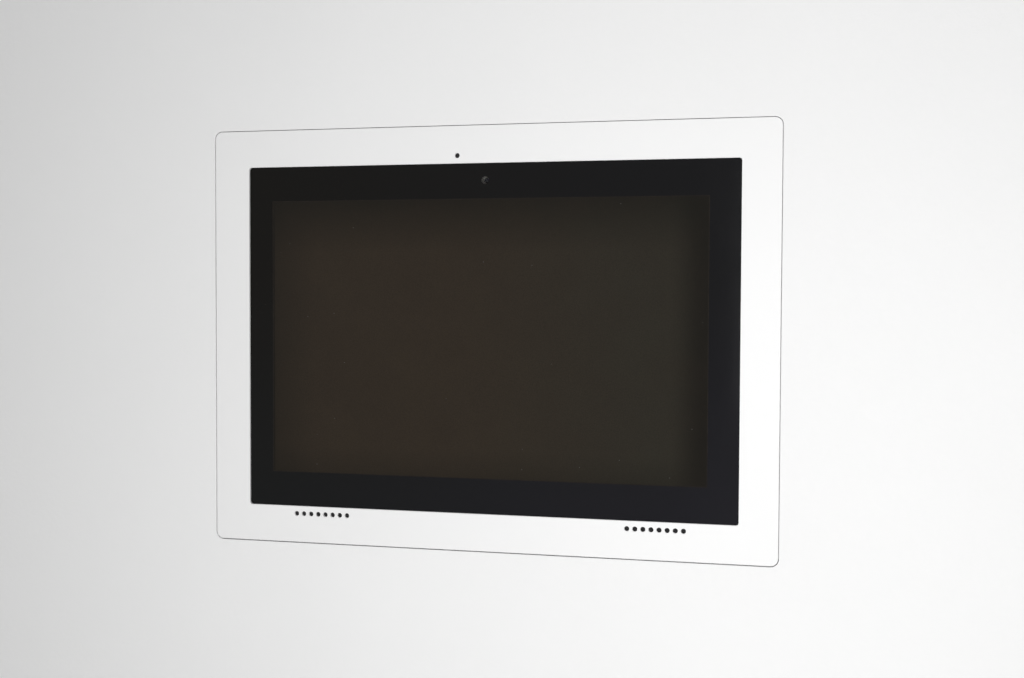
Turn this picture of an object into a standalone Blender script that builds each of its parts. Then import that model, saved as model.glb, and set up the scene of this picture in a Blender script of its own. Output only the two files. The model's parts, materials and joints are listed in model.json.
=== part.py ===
"""Flush in-wall mount with a 10 inch tablet in it.

Metres. X runs to the right, Y into the wall and Z up. The origin is the centre of
the back box's rear face, and the cover's face lies MOUNT_DEPTH in front of it.
Depths inside a piece are counted from that piece's own front, along +Y.
"""

import math

import bmesh
import bpy
from mathutils import Matrix, Vector

# Fits between pieces
SEAT_GAP = 0.0003
SHADOW_GAP = 0.0004
SLOT_CLEARANCE = 0.0003
SCREW_CLEARANCE = 0.0003

# Tablet, a 10.1 inch screen with its bezel
SCREEN_WIDTH = 0.2170
SCREEN_HEIGHT = 0.1356
BEZEL_SIDE = 0.0150
BEZEL_TOP = 0.0177
TABLET_THICKNESS = 0.0089
TABLET_CORNER = 0.0060
TABLET_BACK_EDGE = 0.0022
GLASS_THICKNESS = 0.0008
PANEL_BORDER = 0.0020
PANEL_THICKNESS = 0.0022
SHELL_WALL = 0.0015
CHASSIS_WALL = 0.0012
CHASSIS_FLOOR = 0.0008
FLEX_SLOT_WIDTH = 0.0300
FLEX_SLOT_HEIGHT = 0.0020

# Battery and main board
BATTERY_WIDTH = 0.1500
BATTERY_HEIGHT = 0.0860
CELL_GROOVE_WIDTH = 0.0040
CELL_GROOVE_DEPTH = 0.0010
BOARD_SIDE_ROOM = 0.0080
BOARD_HEIGHT = 0.0320
BOARD_THICKNESS = 0.0010
BOARD_TOP_ROOM = 0.0040
SHIELD_SIZES = ((-0.0560, 0.0440, 0.0200), (0.0080, 0.0340, 0.0240), (0.0620, 0.0260, 0.0160))
SWITCH_WIDTH = 0.0050
SWITCH_DEPTH = 0.0016

# Cameras, port and tablet loudspeakers
CAMERA_BELOW_TOP = 0.0089
FRONT_CAMERA_DIAMETER = 0.0060
FRONT_CAMERA_LENGTH = 0.0021
FRONT_CAMERA_NOSE = 0.0044
FRONT_CAMERA_STEP = 0.0007
FRONT_CAMERA_MOUTH = 0.0038
FRONT_CAMERA_LENS = 0.0020
FRONT_CAMERA_RECESS = 0.0014
REAR_CAMERA_DIAMETER = 0.0090
REAR_CAMERA_INSET = 0.0140
REAR_CAMERA_FLANGE = 0.01035
REAR_CAMERA_MOUTH = 0.0054
REAR_CAMERA_LENS = 0.0045
REAR_CAMERA_RECESS = 0.0005
PORT_WIDTH = 0.0075
PORT_WALL = 0.0004
PORT_LENGTH = 0.0056
PORT_BELOW_TOP = 0.0250
TABLET_SPEAKER_WIDTH = 0.0300
TABLET_SPEAKER_HEIGHT = 0.0110
TABLET_SPEAKER_CORNER = 0.0015
SOUND_SLOTS = 4
SOUND_SLOT_LENGTH = 0.0040
SOUND_SLOT_WIDTH = 0.0012
SOUND_SLOT_PITCH = 0.0065

# Buttons on the tablet's top edge
BUTTON_DEPTH = 0.0020
BUTTON_STAND = 0.0006
BUTTON_COLLAR = 0.0008
BUTTON_COLLAR_LAP = 0.0010
BUTTON_CAP_ROOT = 0.0002
BUTTON_TRAVEL = 0.0004
POWER_WIDTH = 0.0100
POWER_FROM_SIDE = 0.0260
VOLUME_WIDTH = 0.0200
VOLUME_FROM_SIDE = 0.0520

# Front cover
COVER_LAP_SIDE = 0.0017
COVER_LAP_TOP = 0.0008
COVER_BORDER = 0.0181
COVER_SHEET = 0.0012
COVER_CORNER = 0.0036
COVER_EDGE = 0.0002
WINDOW_CORNER = 0.0013
SOUND_HOLE = 0.0024
SOUND_HOLE_SETBACK = 0.00375
SPEAKER_HOLES = 8
SPEAKER_PITCH = 0.0038
SPEAKER_FROM_SIDE = 0.0386
MICROPHONE_OFFSET = -0.0135
MESH_THICKNESS = 0.0004
MESH_MARGIN = 0.0013

# Magnets that hold the cover
MAGNET_DIAMETER = 0.0100
MAGNET_THICKNESS = 0.0040
MAGNET_EDGE = 0.0004
MAGNET_RIM_GAP = 0.0022
MAGNET_FROM_CORNER = 0.0220

# Trim ring
RIM_WALL = 0.0012
LEDGE_SHEET = 0.0012
RING_CLEARANCE = 0.0025
FLANGE_WIDTH = 0.0200
FLANGE_SHEET = 0.0010
FILLER_DEPTH = 0.0020
KEY_HOLE = 0.0050
KEY_PITCH = 0.0200

# Back box
MOUNT_DEPTH = 0.0300
BOX_SHEET = 0.0012
CABLE_ROOM = 0.0055
BOX_BEND = 0.0040
WALL_SLOT_LENGTH = 0.0120
WALL_SLOT_WIDTH = 0.0050
WALL_SLOT_INSET_X = 0.0170
WALL_SLOT_INSET_Z = 0.0150
KNOCKOUT_DIAMETER = 0.0200
KNOCKOUT_OFFSET = 0.0500
KNOCKOUT_SLIT = 0.0008
KNOCKOUT_BRIDGE = 0.0030
GROMMET_BORE = 0.0070
GROMMET_WALL = 0.0015
GROMMET_LIP = 0.0015
GROMMET_LIP_THICKNESS = 0.0016
GROMMET_FROM_SIDE = 0.0590

# Carrier plate
CARRIER_SHEET = 0.0015
CARRIER_BEND = 0.0010
TABLET_FIT = 0.0003
LUG_LENGTH = 0.0085
LUG_FOOT = 0.0060
BOTTOM_LUG_WIDTH = 0.0340
SIDE_LUG_WIDTH = 0.0400
SIDE_LUG_DROP = 0.0200
CARRIER_RAIL = 0.0378
CARRIER_WEB = 0.0280
CARRIER_WINDOW_CORNER = 0.0060
PAD_THICKNESS = 0.0017
PAD_WIDTH = 0.0180
PAD_SIDE_ROOM = 0.0100
PAD_END_ROOM = 0.0030
SIDE_PAD_INSET = 0.0208

# Standoffs and screws
STANDOFF_DIAMETER = 0.0080
STANDOFF_INSET_Z = 0.0238
CARRIER_SCREW = 0.0040
CARRIER_SCREW_HEAD = 0.0075
CARRIER_SCREW_HEAD_HEIGHT = 0.0013
CARRIER_SCREW_LENGTH = 0.0100
FRAME_SCREW = 0.0035
FRAME_SCREW_HEAD = 0.0070
FRAME_SCREW_HEAD_HEIGHT = 0.0018
FRAME_SCREW_LENGTH = 0.0090

# Pan heads, as shares of a head's diameter or height
HEAD_TOP = 0.68
HEAD_SHOULDER = 0.92
HEAD_SHOULDER_RISE = 0.72
HEAD_RIM_RISE = 0.30
CROSS_REACH = 0.54
CROSS_DEPTH = 0.62
CROSS_WIDTH = 0.0009

# Facets
CORNER_SEGMENTS = 6
EDGE_SEGMENTS = 3
HOLE_SIDES = 12
TURNED_SIDES = 16
MAGNET_SIDES = 20
CUT_OVERRUN = 0.0020
FULL_ROUND = 0.499

# Layers, from the cover's face to the wall
FRONT = -MOUNT_DEPTH
COVER_BACK = FRONT + COVER_SHEET
TABLET_FRONT = COVER_BACK + SEAT_GAP
TABLET_BACK = TABLET_FRONT + TABLET_THICKNESS
PAD_FRONT = TABLET_BACK + SEAT_GAP
CARRIER_FRONT = PAD_FRONT + PAD_THICKNESS + SEAT_GAP
CARRIER_BACK = CARRIER_FRONT + CARRIER_SHEET
BOX_FLOOR_FRONT = -BOX_SHEET
LEDGE_DEPTH = COVER_SHEET + SEAT_GAP + MAGNET_THICKNESS + SEAT_GAP
LEDGE_FRONT = FRONT + LEDGE_DEPTH
LEDGE_BACK = LEDGE_FRONT + LEDGE_SHEET
BOX_FRONT = LEDGE_BACK + SEAT_GAP

# Outlines, as width and height
TABLET_WIDTH = SCREEN_WIDTH + 2 * BEZEL_SIDE
TABLET_HEIGHT = SCREEN_HEIGHT + 2 * BEZEL_TOP
WINDOW = (TABLET_WIDTH - 2 * COVER_LAP_SIDE, TABLET_HEIGHT - 2 * COVER_LAP_TOP)
COVER = (WINDOW[0] + 2 * COVER_BORDER, WINDOW[1] + 2 * COVER_BORDER)
RIM_INNER = (COVER[0] + 2 * SHADOW_GAP, COVER[1] + 2 * SHADOW_GAP)
RIM_OUTER = (RIM_INNER[0] + 2 * RIM_WALL, RIM_INNER[1] + 2 * RIM_WALL)
FLANGE = (RIM_OUTER[0] + 2 * FLANGE_WIDTH, RIM_OUTER[1] + 2 * FLANGE_WIDTH)
LEDGE_OPENING = (TABLET_WIDTH + 2 * RING_CLEARANCE, TABLET_HEIGHT + 2 * RING_CLEARANCE)
BOX_INNER = (TABLET_WIDTH + 2 * CABLE_ROOM, TABLET_HEIGHT + 2 * CABLE_ROOM)
BOX_OUTER = (BOX_INNER[0] + 2 * BOX_SHEET, BOX_INNER[1] + 2 * BOX_SHEET)
SHELL_INNER = (TABLET_WIDTH - 2 * SHELL_WALL, TABLET_HEIGHT - 2 * SHELL_WALL)
CHASSIS = (SHELL_INNER[0] - 2 * SEAT_GAP, SHELL_INNER[1] - 2 * SEAT_GAP)
CARRIER = (TABLET_WIDTH + 2 * TABLET_FIT, TABLET_HEIGHT + 2 * TABLET_FIT)
SIDE_PAD_X = CARRIER[0] / 2 - SIDE_PAD_INSET
WINDOW_EDGES = (CARRIER_WEB / 2, SIDE_PAD_X - PAD_WIDTH / 2 - PAD_SIDE_ROOM)
CARRIER_WINDOW = (WINDOW_EDGES[1] - WINDOW_EDGES[0], CARRIER[1] - 2 * CARRIER_RAIL)
CARRIER_WINDOW_X = (WINDOW_EDGES[0] + WINDOW_EDGES[1]) / 2

# Depths inside the tablet, from the face of its glass
PANEL_DEPTH = GLASS_THICKNESS + SEAT_GAP
CHASSIS_FLOOR_DEPTH = PANEL_DEPTH + PANEL_THICKNESS + SEAT_GAP
INNARDS_DEPTH = CHASSIS_FLOOR_DEPTH + CHASSIS_FLOOR + SEAT_GAP
SHELL_FLOOR_DEPTH = TABLET_THICKNESS - SHELL_WALL
INNARDS_THICKNESS = SHELL_FLOOR_DEPTH - SEAT_GAP - INNARDS_DEPTH
INNARDS_MIDDLE = INNARDS_DEPTH + INNARDS_THICKNESS / 2


def clear_scene():
    for item in list(bpy.data.objects):
        bpy.data.objects.remove(item, do_unlink=True)


def make_material(name, colour, roughness, metallic=0.0):
    material = bpy.data.materials.new(name)
    material.use_nodes = True
    shader = material.node_tree.nodes["Principled BSDF"]
    shader.inputs["Base Color"].default_value = (*colour, 1.0)
    shader.inputs["Roughness"].default_value = roughness
    shader.inputs["Metallic"].default_value = metallic
    material.diffuse_color = (*colour, 1.0)
    return material


def make_collection(name):
    collection = bpy.data.collections.new(name)
    bpy.context.scene.collection.children.link(collection)
    return collection


clear_scene()
PARTS = make_collection("tablet_wall_mount")
CUTTERS = make_collection("cutters")

WHITE_COAT = make_material("white_coat", (0.86, 0.86, 0.86), 0.45)
ZINC_STEEL = make_material("zinc_steel", (0.56, 0.57, 0.58), 0.42, 1.0)
BRIGHT_STEEL = make_material("bright_steel", (0.70, 0.70, 0.71), 0.28, 1.0)
NICKEL = make_material("nickel", (0.78, 0.77, 0.74), 0.18, 1.0)
BLACK_MESH = make_material("black_mesh", (0.010, 0.010, 0.010), 0.85)
BLACK_RUBBER = make_material("black_rubber", (0.015, 0.015, 0.015), 0.75)
PAD_FIBRE = make_material("pad_fibre", (0.020, 0.020, 0.022), 0.90)
COVER_GLASS = make_material("cover_glass", (0.008, 0.008, 0.008), 0.06)
PANEL_BACKING = make_material("panel_backing", (0.030, 0.024, 0.020), 0.50)
CHASSIS_METAL = make_material("chassis_metal", (0.42, 0.43, 0.44), 0.50, 1.0)
SHELL_PLASTIC = make_material("shell_plastic", (0.030, 0.030, 0.034), 0.50)
CELL_WRAP = make_material("cell_wrap", (0.24, 0.24, 0.25), 0.45)
BOARD_LAMINATE = make_material("board_laminate", (0.015, 0.070, 0.035), 0.45)
LENS_BLACK = make_material("lens_black", (0.020, 0.020, 0.022), 0.15)


def make_empty(name, location, parent=None):
    empty = bpy.data.objects.new(name, None)
    empty.empty_display_size = 0.01
    empty.location = location
    empty.parent = parent
    PARTS.objects.link(empty)
    return empty


MOUNT_ROOT = make_empty("mount_root", (0.0, 0.0, 0.0))
COVER_ROOT = make_empty("cover_slide", (0.0, FRONT, 0.0), MOUNT_ROOT)
TABLET_ROOT = make_empty("tablet_root", (0.0, TABLET_FRONT, 0.0), MOUNT_ROOT)


def add_part(name, bm, material, location, parent=None):
    mesh = bpy.data.meshes.new(name)
    bm.to_mesh(mesh)
    bm.free()
    mesh.materials.append(material)
    part = bpy.data.objects.new(name, mesh)
    part.location = location
    part.parent = parent or MOUNT_ROOT
    PARTS.objects.link(part)
    return part


def boolean(part, bm, operation):
    """Cut the bmesh out of the part, or join it on. It is given in the part's own frame."""
    mesh = bpy.data.meshes.new(part.name + "_tool")
    bm.to_mesh(mesh)
    bm.free()
    tool = bpy.data.objects.new(mesh.name, mesh)
    tool.parent = part
    tool.hide_render = True
    tool.display_type = "WIRE"
    CUTTERS.objects.link(tool)
    modifier = part.modifiers.new(operation.lower(), "BOOLEAN")
    modifier.operation = operation
    modifier.solver = "EXACT"
    modifier.object = tool


def cut(part, bm):
    boolean(part, bm, "DIFFERENCE")


def join(part, bm):
    boolean(part, bm, "UNION")


def runs_along_depth(edge):
    start, end = edge.verts
    return abs(start.co.y - end.co.y) > abs(start.co.x - end.co.x) + abs(start.co.z - end.co.z)


def block(width, height, front, back, corner=0.0, centre=(0.0, 0.0), segments=CORNER_SEGMENTS):
    """Block from depth front to depth back, with its corners rounded in the XZ plane."""
    bm = bmesh.new()
    bmesh.ops.create_cube(bm, size=1.0)
    bmesh.ops.scale(bm, vec=(width, back - front, height), verts=bm.verts)
    if corner > 0.0:
        edges = [edge for edge in bm.edges if runs_along_depth(edge)]
        bmesh.ops.bevel(bm, geom=edges, offset=corner, segments=segments, profile=0.5, affect="EDGES")
    bmesh.ops.translate(bm, vec=(centre[0], (front + back) / 2, centre[1]), verts=bm.verts)
    return bm


def ease_rim(bm, depth, size, segments=1):
    """Bevel the outline's edges that lie at this depth."""
    edges = [
        edge
        for edge in bm.edges
        if all(abs(vertex.co.y - depth) < 1e-7 for vertex in edge.verts)
    ]
    bmesh.ops.bevel(bm, geom=edges, offset=size, segments=segments, profile=0.5, affect="EDGES")
    return bm


def merge(bms):
    """One bmesh that holds the shapes of several."""
    whole = bmesh.new()
    for bm in bms:
        mesh = bpy.data.meshes.new("merged")
        bm.to_mesh(mesh)
        bm.free()
        whole.from_mesh(mesh)
        bpy.data.meshes.remove(mesh)
    return whole


def prism(outline, sweep):
    """Solid swept from a flat outline of points along a vector."""
    bm = bmesh.new()
    face = bm.faces.new([bm.verts.new(point) for point in outline])
    lifted = bmesh.ops.extrude_face_region(bm, geom=[face])
    far_end = [item for item in lifted["geom"] if isinstance(item, bmesh.types.BMVert)]
    bmesh.ops.translate(bm, vec=sweep, verts=far_end)
    bmesh.ops.recalc_face_normals(bm, faces=bm.faces)
    return bm


def drills(points, diameter, front, back, sides=HOLE_SIDES):
    """Round bars along the depth at each (x, z), long enough to pierce front to back."""
    bm = bmesh.new()
    for x, z in points:
        place = Matrix.Translation((x, (front + back) / 2, z)) @ Matrix.Rotation(math.pi / 2, 4, "X")
        bmesh.ops.create_cone(
            bm,
            cap_ends=True,
            segments=sides,
            radius1=diameter / 2,
            radius2=diameter / 2,
            depth=back - front,
            matrix=place,
        )
    return bm


def turned(name, profile, material, location, parent=None, sides=TURNED_SIDES, closed=False, axis="Y"):
    """Turn a profile of (radius, height) points, whose height runs to the front or up."""
    mesh = bpy.data.meshes.new(name)
    edges = [(index, index + 1) for index in range(len(profile) - 1)]
    if closed:
        edges.append((len(profile) - 1, 0))
    mesh.from_pydata([(radius, 0.0, height) for radius, height in profile], edges, [])
    mesh.materials.append(material)
    part = bpy.data.objects.new(name, mesh)
    part.location = location
    part.parent = parent or MOUNT_ROOT
    if axis == "Y":
        part.rotation_euler = (math.pi / 2, 0.0, 0.0)
    PARTS.objects.link(part)
    screw = part.modifiers.new("turn", "SCREW")
    screw.axis = "Z"
    screw.steps = sides
    screw.render_steps = sides
    screw.use_merge_vertices = True
    screw.merge_threshold = 0.00001
    return part


def mirrored(*values):
    return [sign * value for value in values for sign in (-1, 1)]


def corners(x, z):
    return [(side * x, end * z) for side in (-1, 1) for end in (-1, 1)]


def spaced(length, pitch):
    """Places along a length, at a pitch near the one given, with both ends in."""
    steps = max(1, round(length / pitch))
    return [-length / 2 + length * step / steps for step in range(steps + 1)]


# Where the sound holes, magnets and screws lie
SPEAKER_OFFSET = WINDOW[0] / 2 - SPEAKER_FROM_SIDE
SOUND_ROW_Z = WINDOW[1] / 2 + SOUND_HOLE_SETBACK
SPEAKER_ROW = (SPEAKER_HOLES - 1) * SPEAKER_PITCH
SPEAKER_POINTS = [
    (side * SPEAKER_OFFSET - SPEAKER_ROW / 2 + index * SPEAKER_PITCH, -SOUND_ROW_Z)
    for side in (-1, 1)
    for index in range(SPEAKER_HOLES)
]
MICROPHONE_POINT = (MICROPHONE_OFFSET, SOUND_ROW_Z)
MAGNET_INSET = MAGNET_RIM_GAP + MAGNET_DIAMETER / 2
MAGNET_X = RIM_INNER[0] / 2 - MAGNET_INSET
MAGNET_Z = RIM_INNER[1] / 2 - MAGNET_INSET
MAGNET_CORNER_X = RIM_INNER[0] / 2 - MAGNET_FROM_CORNER
MAGNET_POINTS = [
    (x, z) for z in (MAGNET_Z, -MAGNET_Z) for x in (-MAGNET_CORNER_X, 0.0, MAGNET_CORNER_X)
] + [(-MAGNET_X, 0.0), (MAGNET_X, 0.0)]
SCREW_LINE_X = (BOX_OUTER[0] + RIM_INNER[0]) / 4
SCREW_LINE_Z = (BOX_OUTER[1] + RIM_INNER[1]) / 4
FRAME_SCREW_POINTS = corners(MAGNET_CORNER_X / 2, SCREW_LINE_Z) + corners(SCREW_LINE_X, MAGNET_Z / 2)
STANDOFF_POINTS = corners(SIDE_PAD_X, CARRIER[1] / 2 - STANDOFF_INSET_Z)


def build_front_cover():
    bm = ease_rim(block(*COVER, 0.0, COVER_SHEET, COVER_CORNER), 0.0, COVER_EDGE)
    cover = add_part("front_cover", bm, WHITE_COAT, (0.0, 0.0, 0.0), COVER_ROOT)
    through = (-CUT_OVERRUN, COVER_SHEET + CUT_OVERRUN)
    cut(cover, block(*WINDOW, *through, WINDOW_CORNER))
    cut(cover, drills(SPEAKER_POINTS + [MICROPHONE_POINT], SOUND_HOLE, *through))


def build_sound_meshes():
    height = SOUND_HOLE + 2 * MESH_MARGIN
    depth = COVER_SHEET + SEAT_GAP
    for name, x in (("speaker_mesh_left", -SPEAKER_OFFSET), ("speaker_mesh_right", SPEAKER_OFFSET)):
        bm = block(SPEAKER_ROW + height, height, 0.0, MESH_THICKNESS, height / 4, segments=3)
        add_part(name, bm, BLACK_MESH, (x, depth, -SOUND_ROW_Z), COVER_ROOT)
    bm = block(height, height, 0.0, MESH_THICKNESS, height / 4, segments=3)
    place = (MICROPHONE_POINT[0], depth, MICROPHONE_POINT[1])
    add_part("microphone_mesh", bm, BLACK_MESH, place, COVER_ROOT)


def build_trim_ring():
    """Rim that the cover sinks into, ledge for the magnets and flange that the filler grips."""
    bottom = LEDGE_DEPTH + LEDGE_SHEET
    outer_corner = COVER_CORNER + SHADOW_GAP + RIM_WALL
    ring = add_part(
        "trim_ring", block(*RIM_OUTER, 0.0, bottom, outer_corner), WHITE_COAT, (0.0, FRONT, 0.0)
    )
    flange_back = FILLER_DEPTH + FLANGE_SHEET
    join(ring, block(*FLANGE, FILLER_DEPTH, flange_back, outer_corner + FLANGE_WIDTH / 2))
    cut(ring, block(*RIM_INNER, -CUT_OVERRUN, LEDGE_DEPTH, COVER_CORNER + SHADOW_GAP))
    opening_corner = TABLET_CORNER + RING_CLEARANCE
    cut(ring, block(*LEDGE_OPENING, 0.0, bottom + CUT_OVERRUN, opening_corner))
    x = (RIM_OUTER[0] + FLANGE_WIDTH) / 2
    z = (RIM_OUTER[1] + FLANGE_WIDTH) / 2
    keys = [(along, side * z) for along in spaced(RIM_OUTER[0] - KEY_PITCH, KEY_PITCH) for side in (-1, 1)]
    keys += [(side * x, along) for along in spaced(RIM_OUTER[1] - KEY_PITCH, KEY_PITCH) for side in (-1, 1)]
    cut(ring, drills(keys, KEY_HOLE, FILLER_DEPTH - CUT_OVERRUN / 2, flange_back + CUT_OVERRUN / 2))
    hole = FRAME_SCREW + 2 * SCREW_CLEARANCE
    cut(ring, drills(FRAME_SCREW_POINTS, hole, LEDGE_DEPTH - CUT_OVERRUN / 2, bottom + CUT_OVERRUN))


def build_magnets():
    for number, (x, z) in enumerate(MAGNET_POINTS, 1):
        radius = MAGNET_DIAMETER / 2
        profile = [
            (0.0, MAGNET_THICKNESS),
            (radius - MAGNET_EDGE, MAGNET_THICKNESS),
            (radius, MAGNET_THICKNESS - MAGNET_EDGE),
            (radius, 0.0),
            (0.0, 0.0),
        ]
        place = (x, LEDGE_FRONT - SEAT_GAP, z)
        turned(f"cover_magnet_{number}", profile, NICKEL, place, sides=MAGNET_SIDES)


def screw(name, shank, length, head, head_height, place):
    """Pan head with a cross recess over a plain shank, with height 0 under the head."""
    profile = [
        (0.0, head_height),
        (head / 2 * HEAD_TOP, head_height),
        (head / 2 * HEAD_SHOULDER, head_height * HEAD_SHOULDER_RISE),
        (head / 2, head_height * HEAD_RIM_RISE),
        (head / 2, 0.0),
        (shank / 2, 0.0),
        (shank / 2, -length + shank / 4),
        (shank / 4, -length),
        (0.0, -length),
    ]
    part = turned(name, profile, BRIGHT_STEEL, place, sides=HOLE_SIDES)
    cut(part, cross_recess(head, head_height))


def cross_recess(head, head_height):
    """Cutter for the recess that the driver fits."""
    reach, half = head * CROSS_REACH / 2, CROSS_WIDTH / 2
    quarter = [(reach, -half), (reach, half), (half, half)]
    outline = []
    for turn in range(4):
        outline += [Matrix.Rotation(turn * math.pi / 2, 2) @ Vector(point) for point in quarter]
    floor = head_height * (1 - CROSS_DEPTH)
    return prism([(x, y, floor) for x, y in outline], (0.0, 0.0, head_height))


def build_frame_screws():
    sizes = (FRAME_SCREW, FRAME_SCREW_LENGTH, FRAME_SCREW_HEAD, FRAME_SCREW_HEAD_HEIGHT)
    for number, (x, z) in enumerate(FRAME_SCREW_POINTS, 1):
        screw(f"frame_screw_{number}", *sizes, (x, LEDGE_FRONT - SEAT_GAP, z))


def build_back_box():
    """Sheet pan with a flange behind the ledge, fixing slots, knock-outs and a cable hole."""
    depth = -BOX_FRONT
    box = add_part(
        "back_box", block(*BOX_OUTER, 0.0, depth, BOX_BEND + BOX_SHEET), ZINC_STEEL, (0.0, BOX_FRONT, 0.0)
    )
    join(box, block(*RIM_OUTER, 0.0, BOX_SHEET, COVER_CORNER + SHADOW_GAP + RIM_WALL))
    floor = depth - BOX_SHEET
    cut(box, block(*BOX_INNER, -CUT_OVERRUN, floor, BOX_BEND))
    hole = FRAME_SCREW + 2 * SCREW_CLEARANCE
    cut(box, drills(FRAME_SCREW_POINTS, hole, -CUT_OVERRUN, BOX_SHEET + CUT_OVERRUN))
    slot_x = BOX_INNER[0] / 2 - WALL_SLOT_INSET_X
    slot_z = BOX_INNER[1] / 2 - WALL_SLOT_INSET_Z
    through = (floor - CUT_OVERRUN, depth + CUT_OVERRUN)
    slots = [
        block(WALL_SLOT_LENGTH, WALL_SLOT_WIDTH, *through, WALL_SLOT_WIDTH * FULL_ROUND, centre)
        for centre in corners(slot_x, slot_z)
    ]
    cut(box, merge(slots))
    for x in mirrored(KNOCKOUT_OFFSET):
        cut(box, knockout_slits(x, *through))
    cut(box, grommet_hole())


def knockout_slits(x, front, back):
    """Two half-round slits, with the bridges that hold the disc between their ends."""
    outer = KNOCKOUT_DIAMETER / 2
    inner = outer - KNOCKOUT_SLIT
    bridge = math.asin(KNOCKOUT_BRIDGE / 2 / outer)
    slits = []
    for start in (0.0, math.pi):
        steps = range(HOLE_SIDES + 1)
        turns = [start + bridge + (math.pi - 2 * bridge) * step / HOLE_SIDES for step in steps]
        edges = [(outer, turn) for turn in turns] + [(inner, turn) for turn in reversed(turns)]
        outline = [(x + radius * math.cos(turn), front, radius * math.sin(turn)) for radius, turn in edges]
        slits.append(prism(outline, (0.0, back - front, 0.0)))
    return merge(slits)


def grommet_place():
    """Centre of the cable hole in the box's top wall."""
    x = BOX_INNER[0] / 2 - GROMMET_FROM_SIDE
    return (x, (CARRIER_BACK + BOX_FLOOR_FRONT) / 2, BOX_INNER[1] / 2)


def grommet_hole():
    x, y, z = grommet_place()
    radius = GROMMET_BORE / 2 + GROMMET_WALL + SEAT_GAP
    bm = bmesh.new()
    bmesh.ops.create_cone(
        bm,
        cap_ends=True,
        segments=MAGNET_SIDES,
        radius1=radius,
        radius2=radius,
        depth=BOX_SHEET + 2 * CUT_OVERRUN,
        matrix=Matrix.Translation((x, y - BOX_FRONT, z + BOX_SHEET / 2)),
    )
    return bm


def build_cable_grommet():
    bore = GROMMET_BORE / 2
    waist = bore + GROMMET_WALL
    lip = waist + GROMMET_LIP
    half_seat = BOX_SHEET / 2 + SEAT_GAP
    top = half_seat + GROMMET_LIP_THICKNESS
    chamfer = GROMMET_LIP_THICKNESS / 2
    profile = [
        (bore, top),
        (lip - chamfer, top),
        (lip, top - chamfer),
        (lip, half_seat),
        (waist, half_seat),
        (waist, -half_seat),
        (lip, -half_seat),
        (lip, -top + chamfer),
        (lip - chamfer, -top),
        (bore, -top),
    ]
    x, y, z = grommet_place()
    place = (x, y, z + BOX_SHEET / 2)
    turned("cable_grommet", profile, BLACK_RUBBER, place, sides=MAGNET_SIDES, closed=True, axis="Z")


def folded_lug(width):
    """Lug folded forward from the plate's edge, as an L with a round bend.

    It is drawn with its inner face at x = 0 and the plate on its -X side, and it is
    centred on Z. Depth 0 is the plate's front face.
    """
    outer = CARRIER_BEND + CARRIER_SHEET
    centre = -CARRIER_BEND
    arc = [math.pi / 2 * step / EDGE_SEGMENTS for step in range(EDGE_SEGMENTS + 1)]
    inner_arc = [(centre + CARRIER_BEND * math.sin(a), centre + CARRIER_BEND * math.cos(a)) for a in arc]
    outline = [(-LUG_FOOT, 0.0)] + inner_arc + [(0.0, -LUG_LENGTH), (CARRIER_SHEET, -LUG_LENGTH)]
    outer_arc = [(centre + outer * math.sin(a), centre + outer * math.cos(a)) for a in reversed(arc)]
    outline += outer_arc + [(-LUG_FOOT, CARRIER_SHEET)]
    return prism([(x, y, -width / 2) for x, y in outline], (0.0, 0.0, width))


def placed_lug(width, distance, along, turn):
    """A lug at this distance from the centre, turned about the depth axis."""
    bm = folded_lug(width)
    place = Matrix.Rotation(turn, 4, "Y") @ Matrix.Translation((distance, 0.0, along))
    bmesh.ops.transform(bm, matrix=place, verts=bm.verts)
    return bm


def build_carrier_plate():
    edge = CARRIER_BEND
    plate = block(CARRIER[0] - 2 * edge, CARRIER[1] - 2 * edge, 0.0, CARRIER_SHEET, TABLET_CORNER)
    carrier = add_part("carrier_plate", plate, ZINC_STEEL, (0.0, CARRIER_FRONT, 0.0))
    half_x, half_z = CARRIER[0] / 2, CARRIER[1] / 2
    for along in mirrored(CARRIER_WINDOW_X):
        join(carrier, placed_lug(BOTTOM_LUG_WIDTH, half_z, along, math.pi / 2))
    join(carrier, placed_lug(SIDE_LUG_WIDTH, half_x, -SIDE_LUG_DROP, 0.0))
    join(carrier, placed_lug(SIDE_LUG_WIDTH, half_x, SIDE_LUG_DROP, math.pi))
    through = (-CUT_OVERRUN, CARRIER_SHEET + CUT_OVERRUN)
    windows = [
        block(*CARRIER_WINDOW, *through, CARRIER_WINDOW_CORNER, (x, 0.0))
        for x in mirrored(CARRIER_WINDOW_X)
    ]
    cut(carrier, merge(windows))
    cut(carrier, drills(STANDOFF_POINTS, CARRIER_SCREW + 2 * SCREW_CLEARANCE, *through))


def build_fastening_pads():
    height = CARRIER_WINDOW[1] - 2 * PAD_END_ROOM
    places = (("left", -SIDE_PAD_X), ("centre", 0.0), ("right", SIDE_PAD_X))
    for name, x in places:
        bm = block(PAD_WIDTH, height, 0.0, PAD_THICKNESS, PAD_WIDTH / 6, segments=3)
        add_part(f"fastening_pad_{name}", bm, PAD_FIBRE, (x, PAD_FRONT, 0.0))


def build_standoffs():
    front = CARRIER_BACK + SEAT_GAP
    length = BOX_FLOOR_FRONT - SEAT_GAP - front
    bore = CARRIER_SCREW / 2 + SCREW_CLEARANCE
    outer = STANDOFF_DIAMETER / 2
    profile = [(bore, 0.0), (outer, 0.0), (outer, -length), (bore, -length)]
    for number, (x, z) in enumerate(STANDOFF_POINTS, 1):
        turned(f"standoff_{number}", profile, NICKEL, (x, front, z), closed=True)


def build_carrier_screws():
    sizes = (CARRIER_SCREW, CARRIER_SCREW_LENGTH, CARRIER_SCREW_HEAD, CARRIER_SCREW_HEAD_HEIGHT)
    for number, (x, z) in enumerate(STANDOFF_POINTS, 1):
        screw(f"carrier_screw_{number}", *sizes, (x, CARRIER_FRONT - SEAT_GAP, z))


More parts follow.
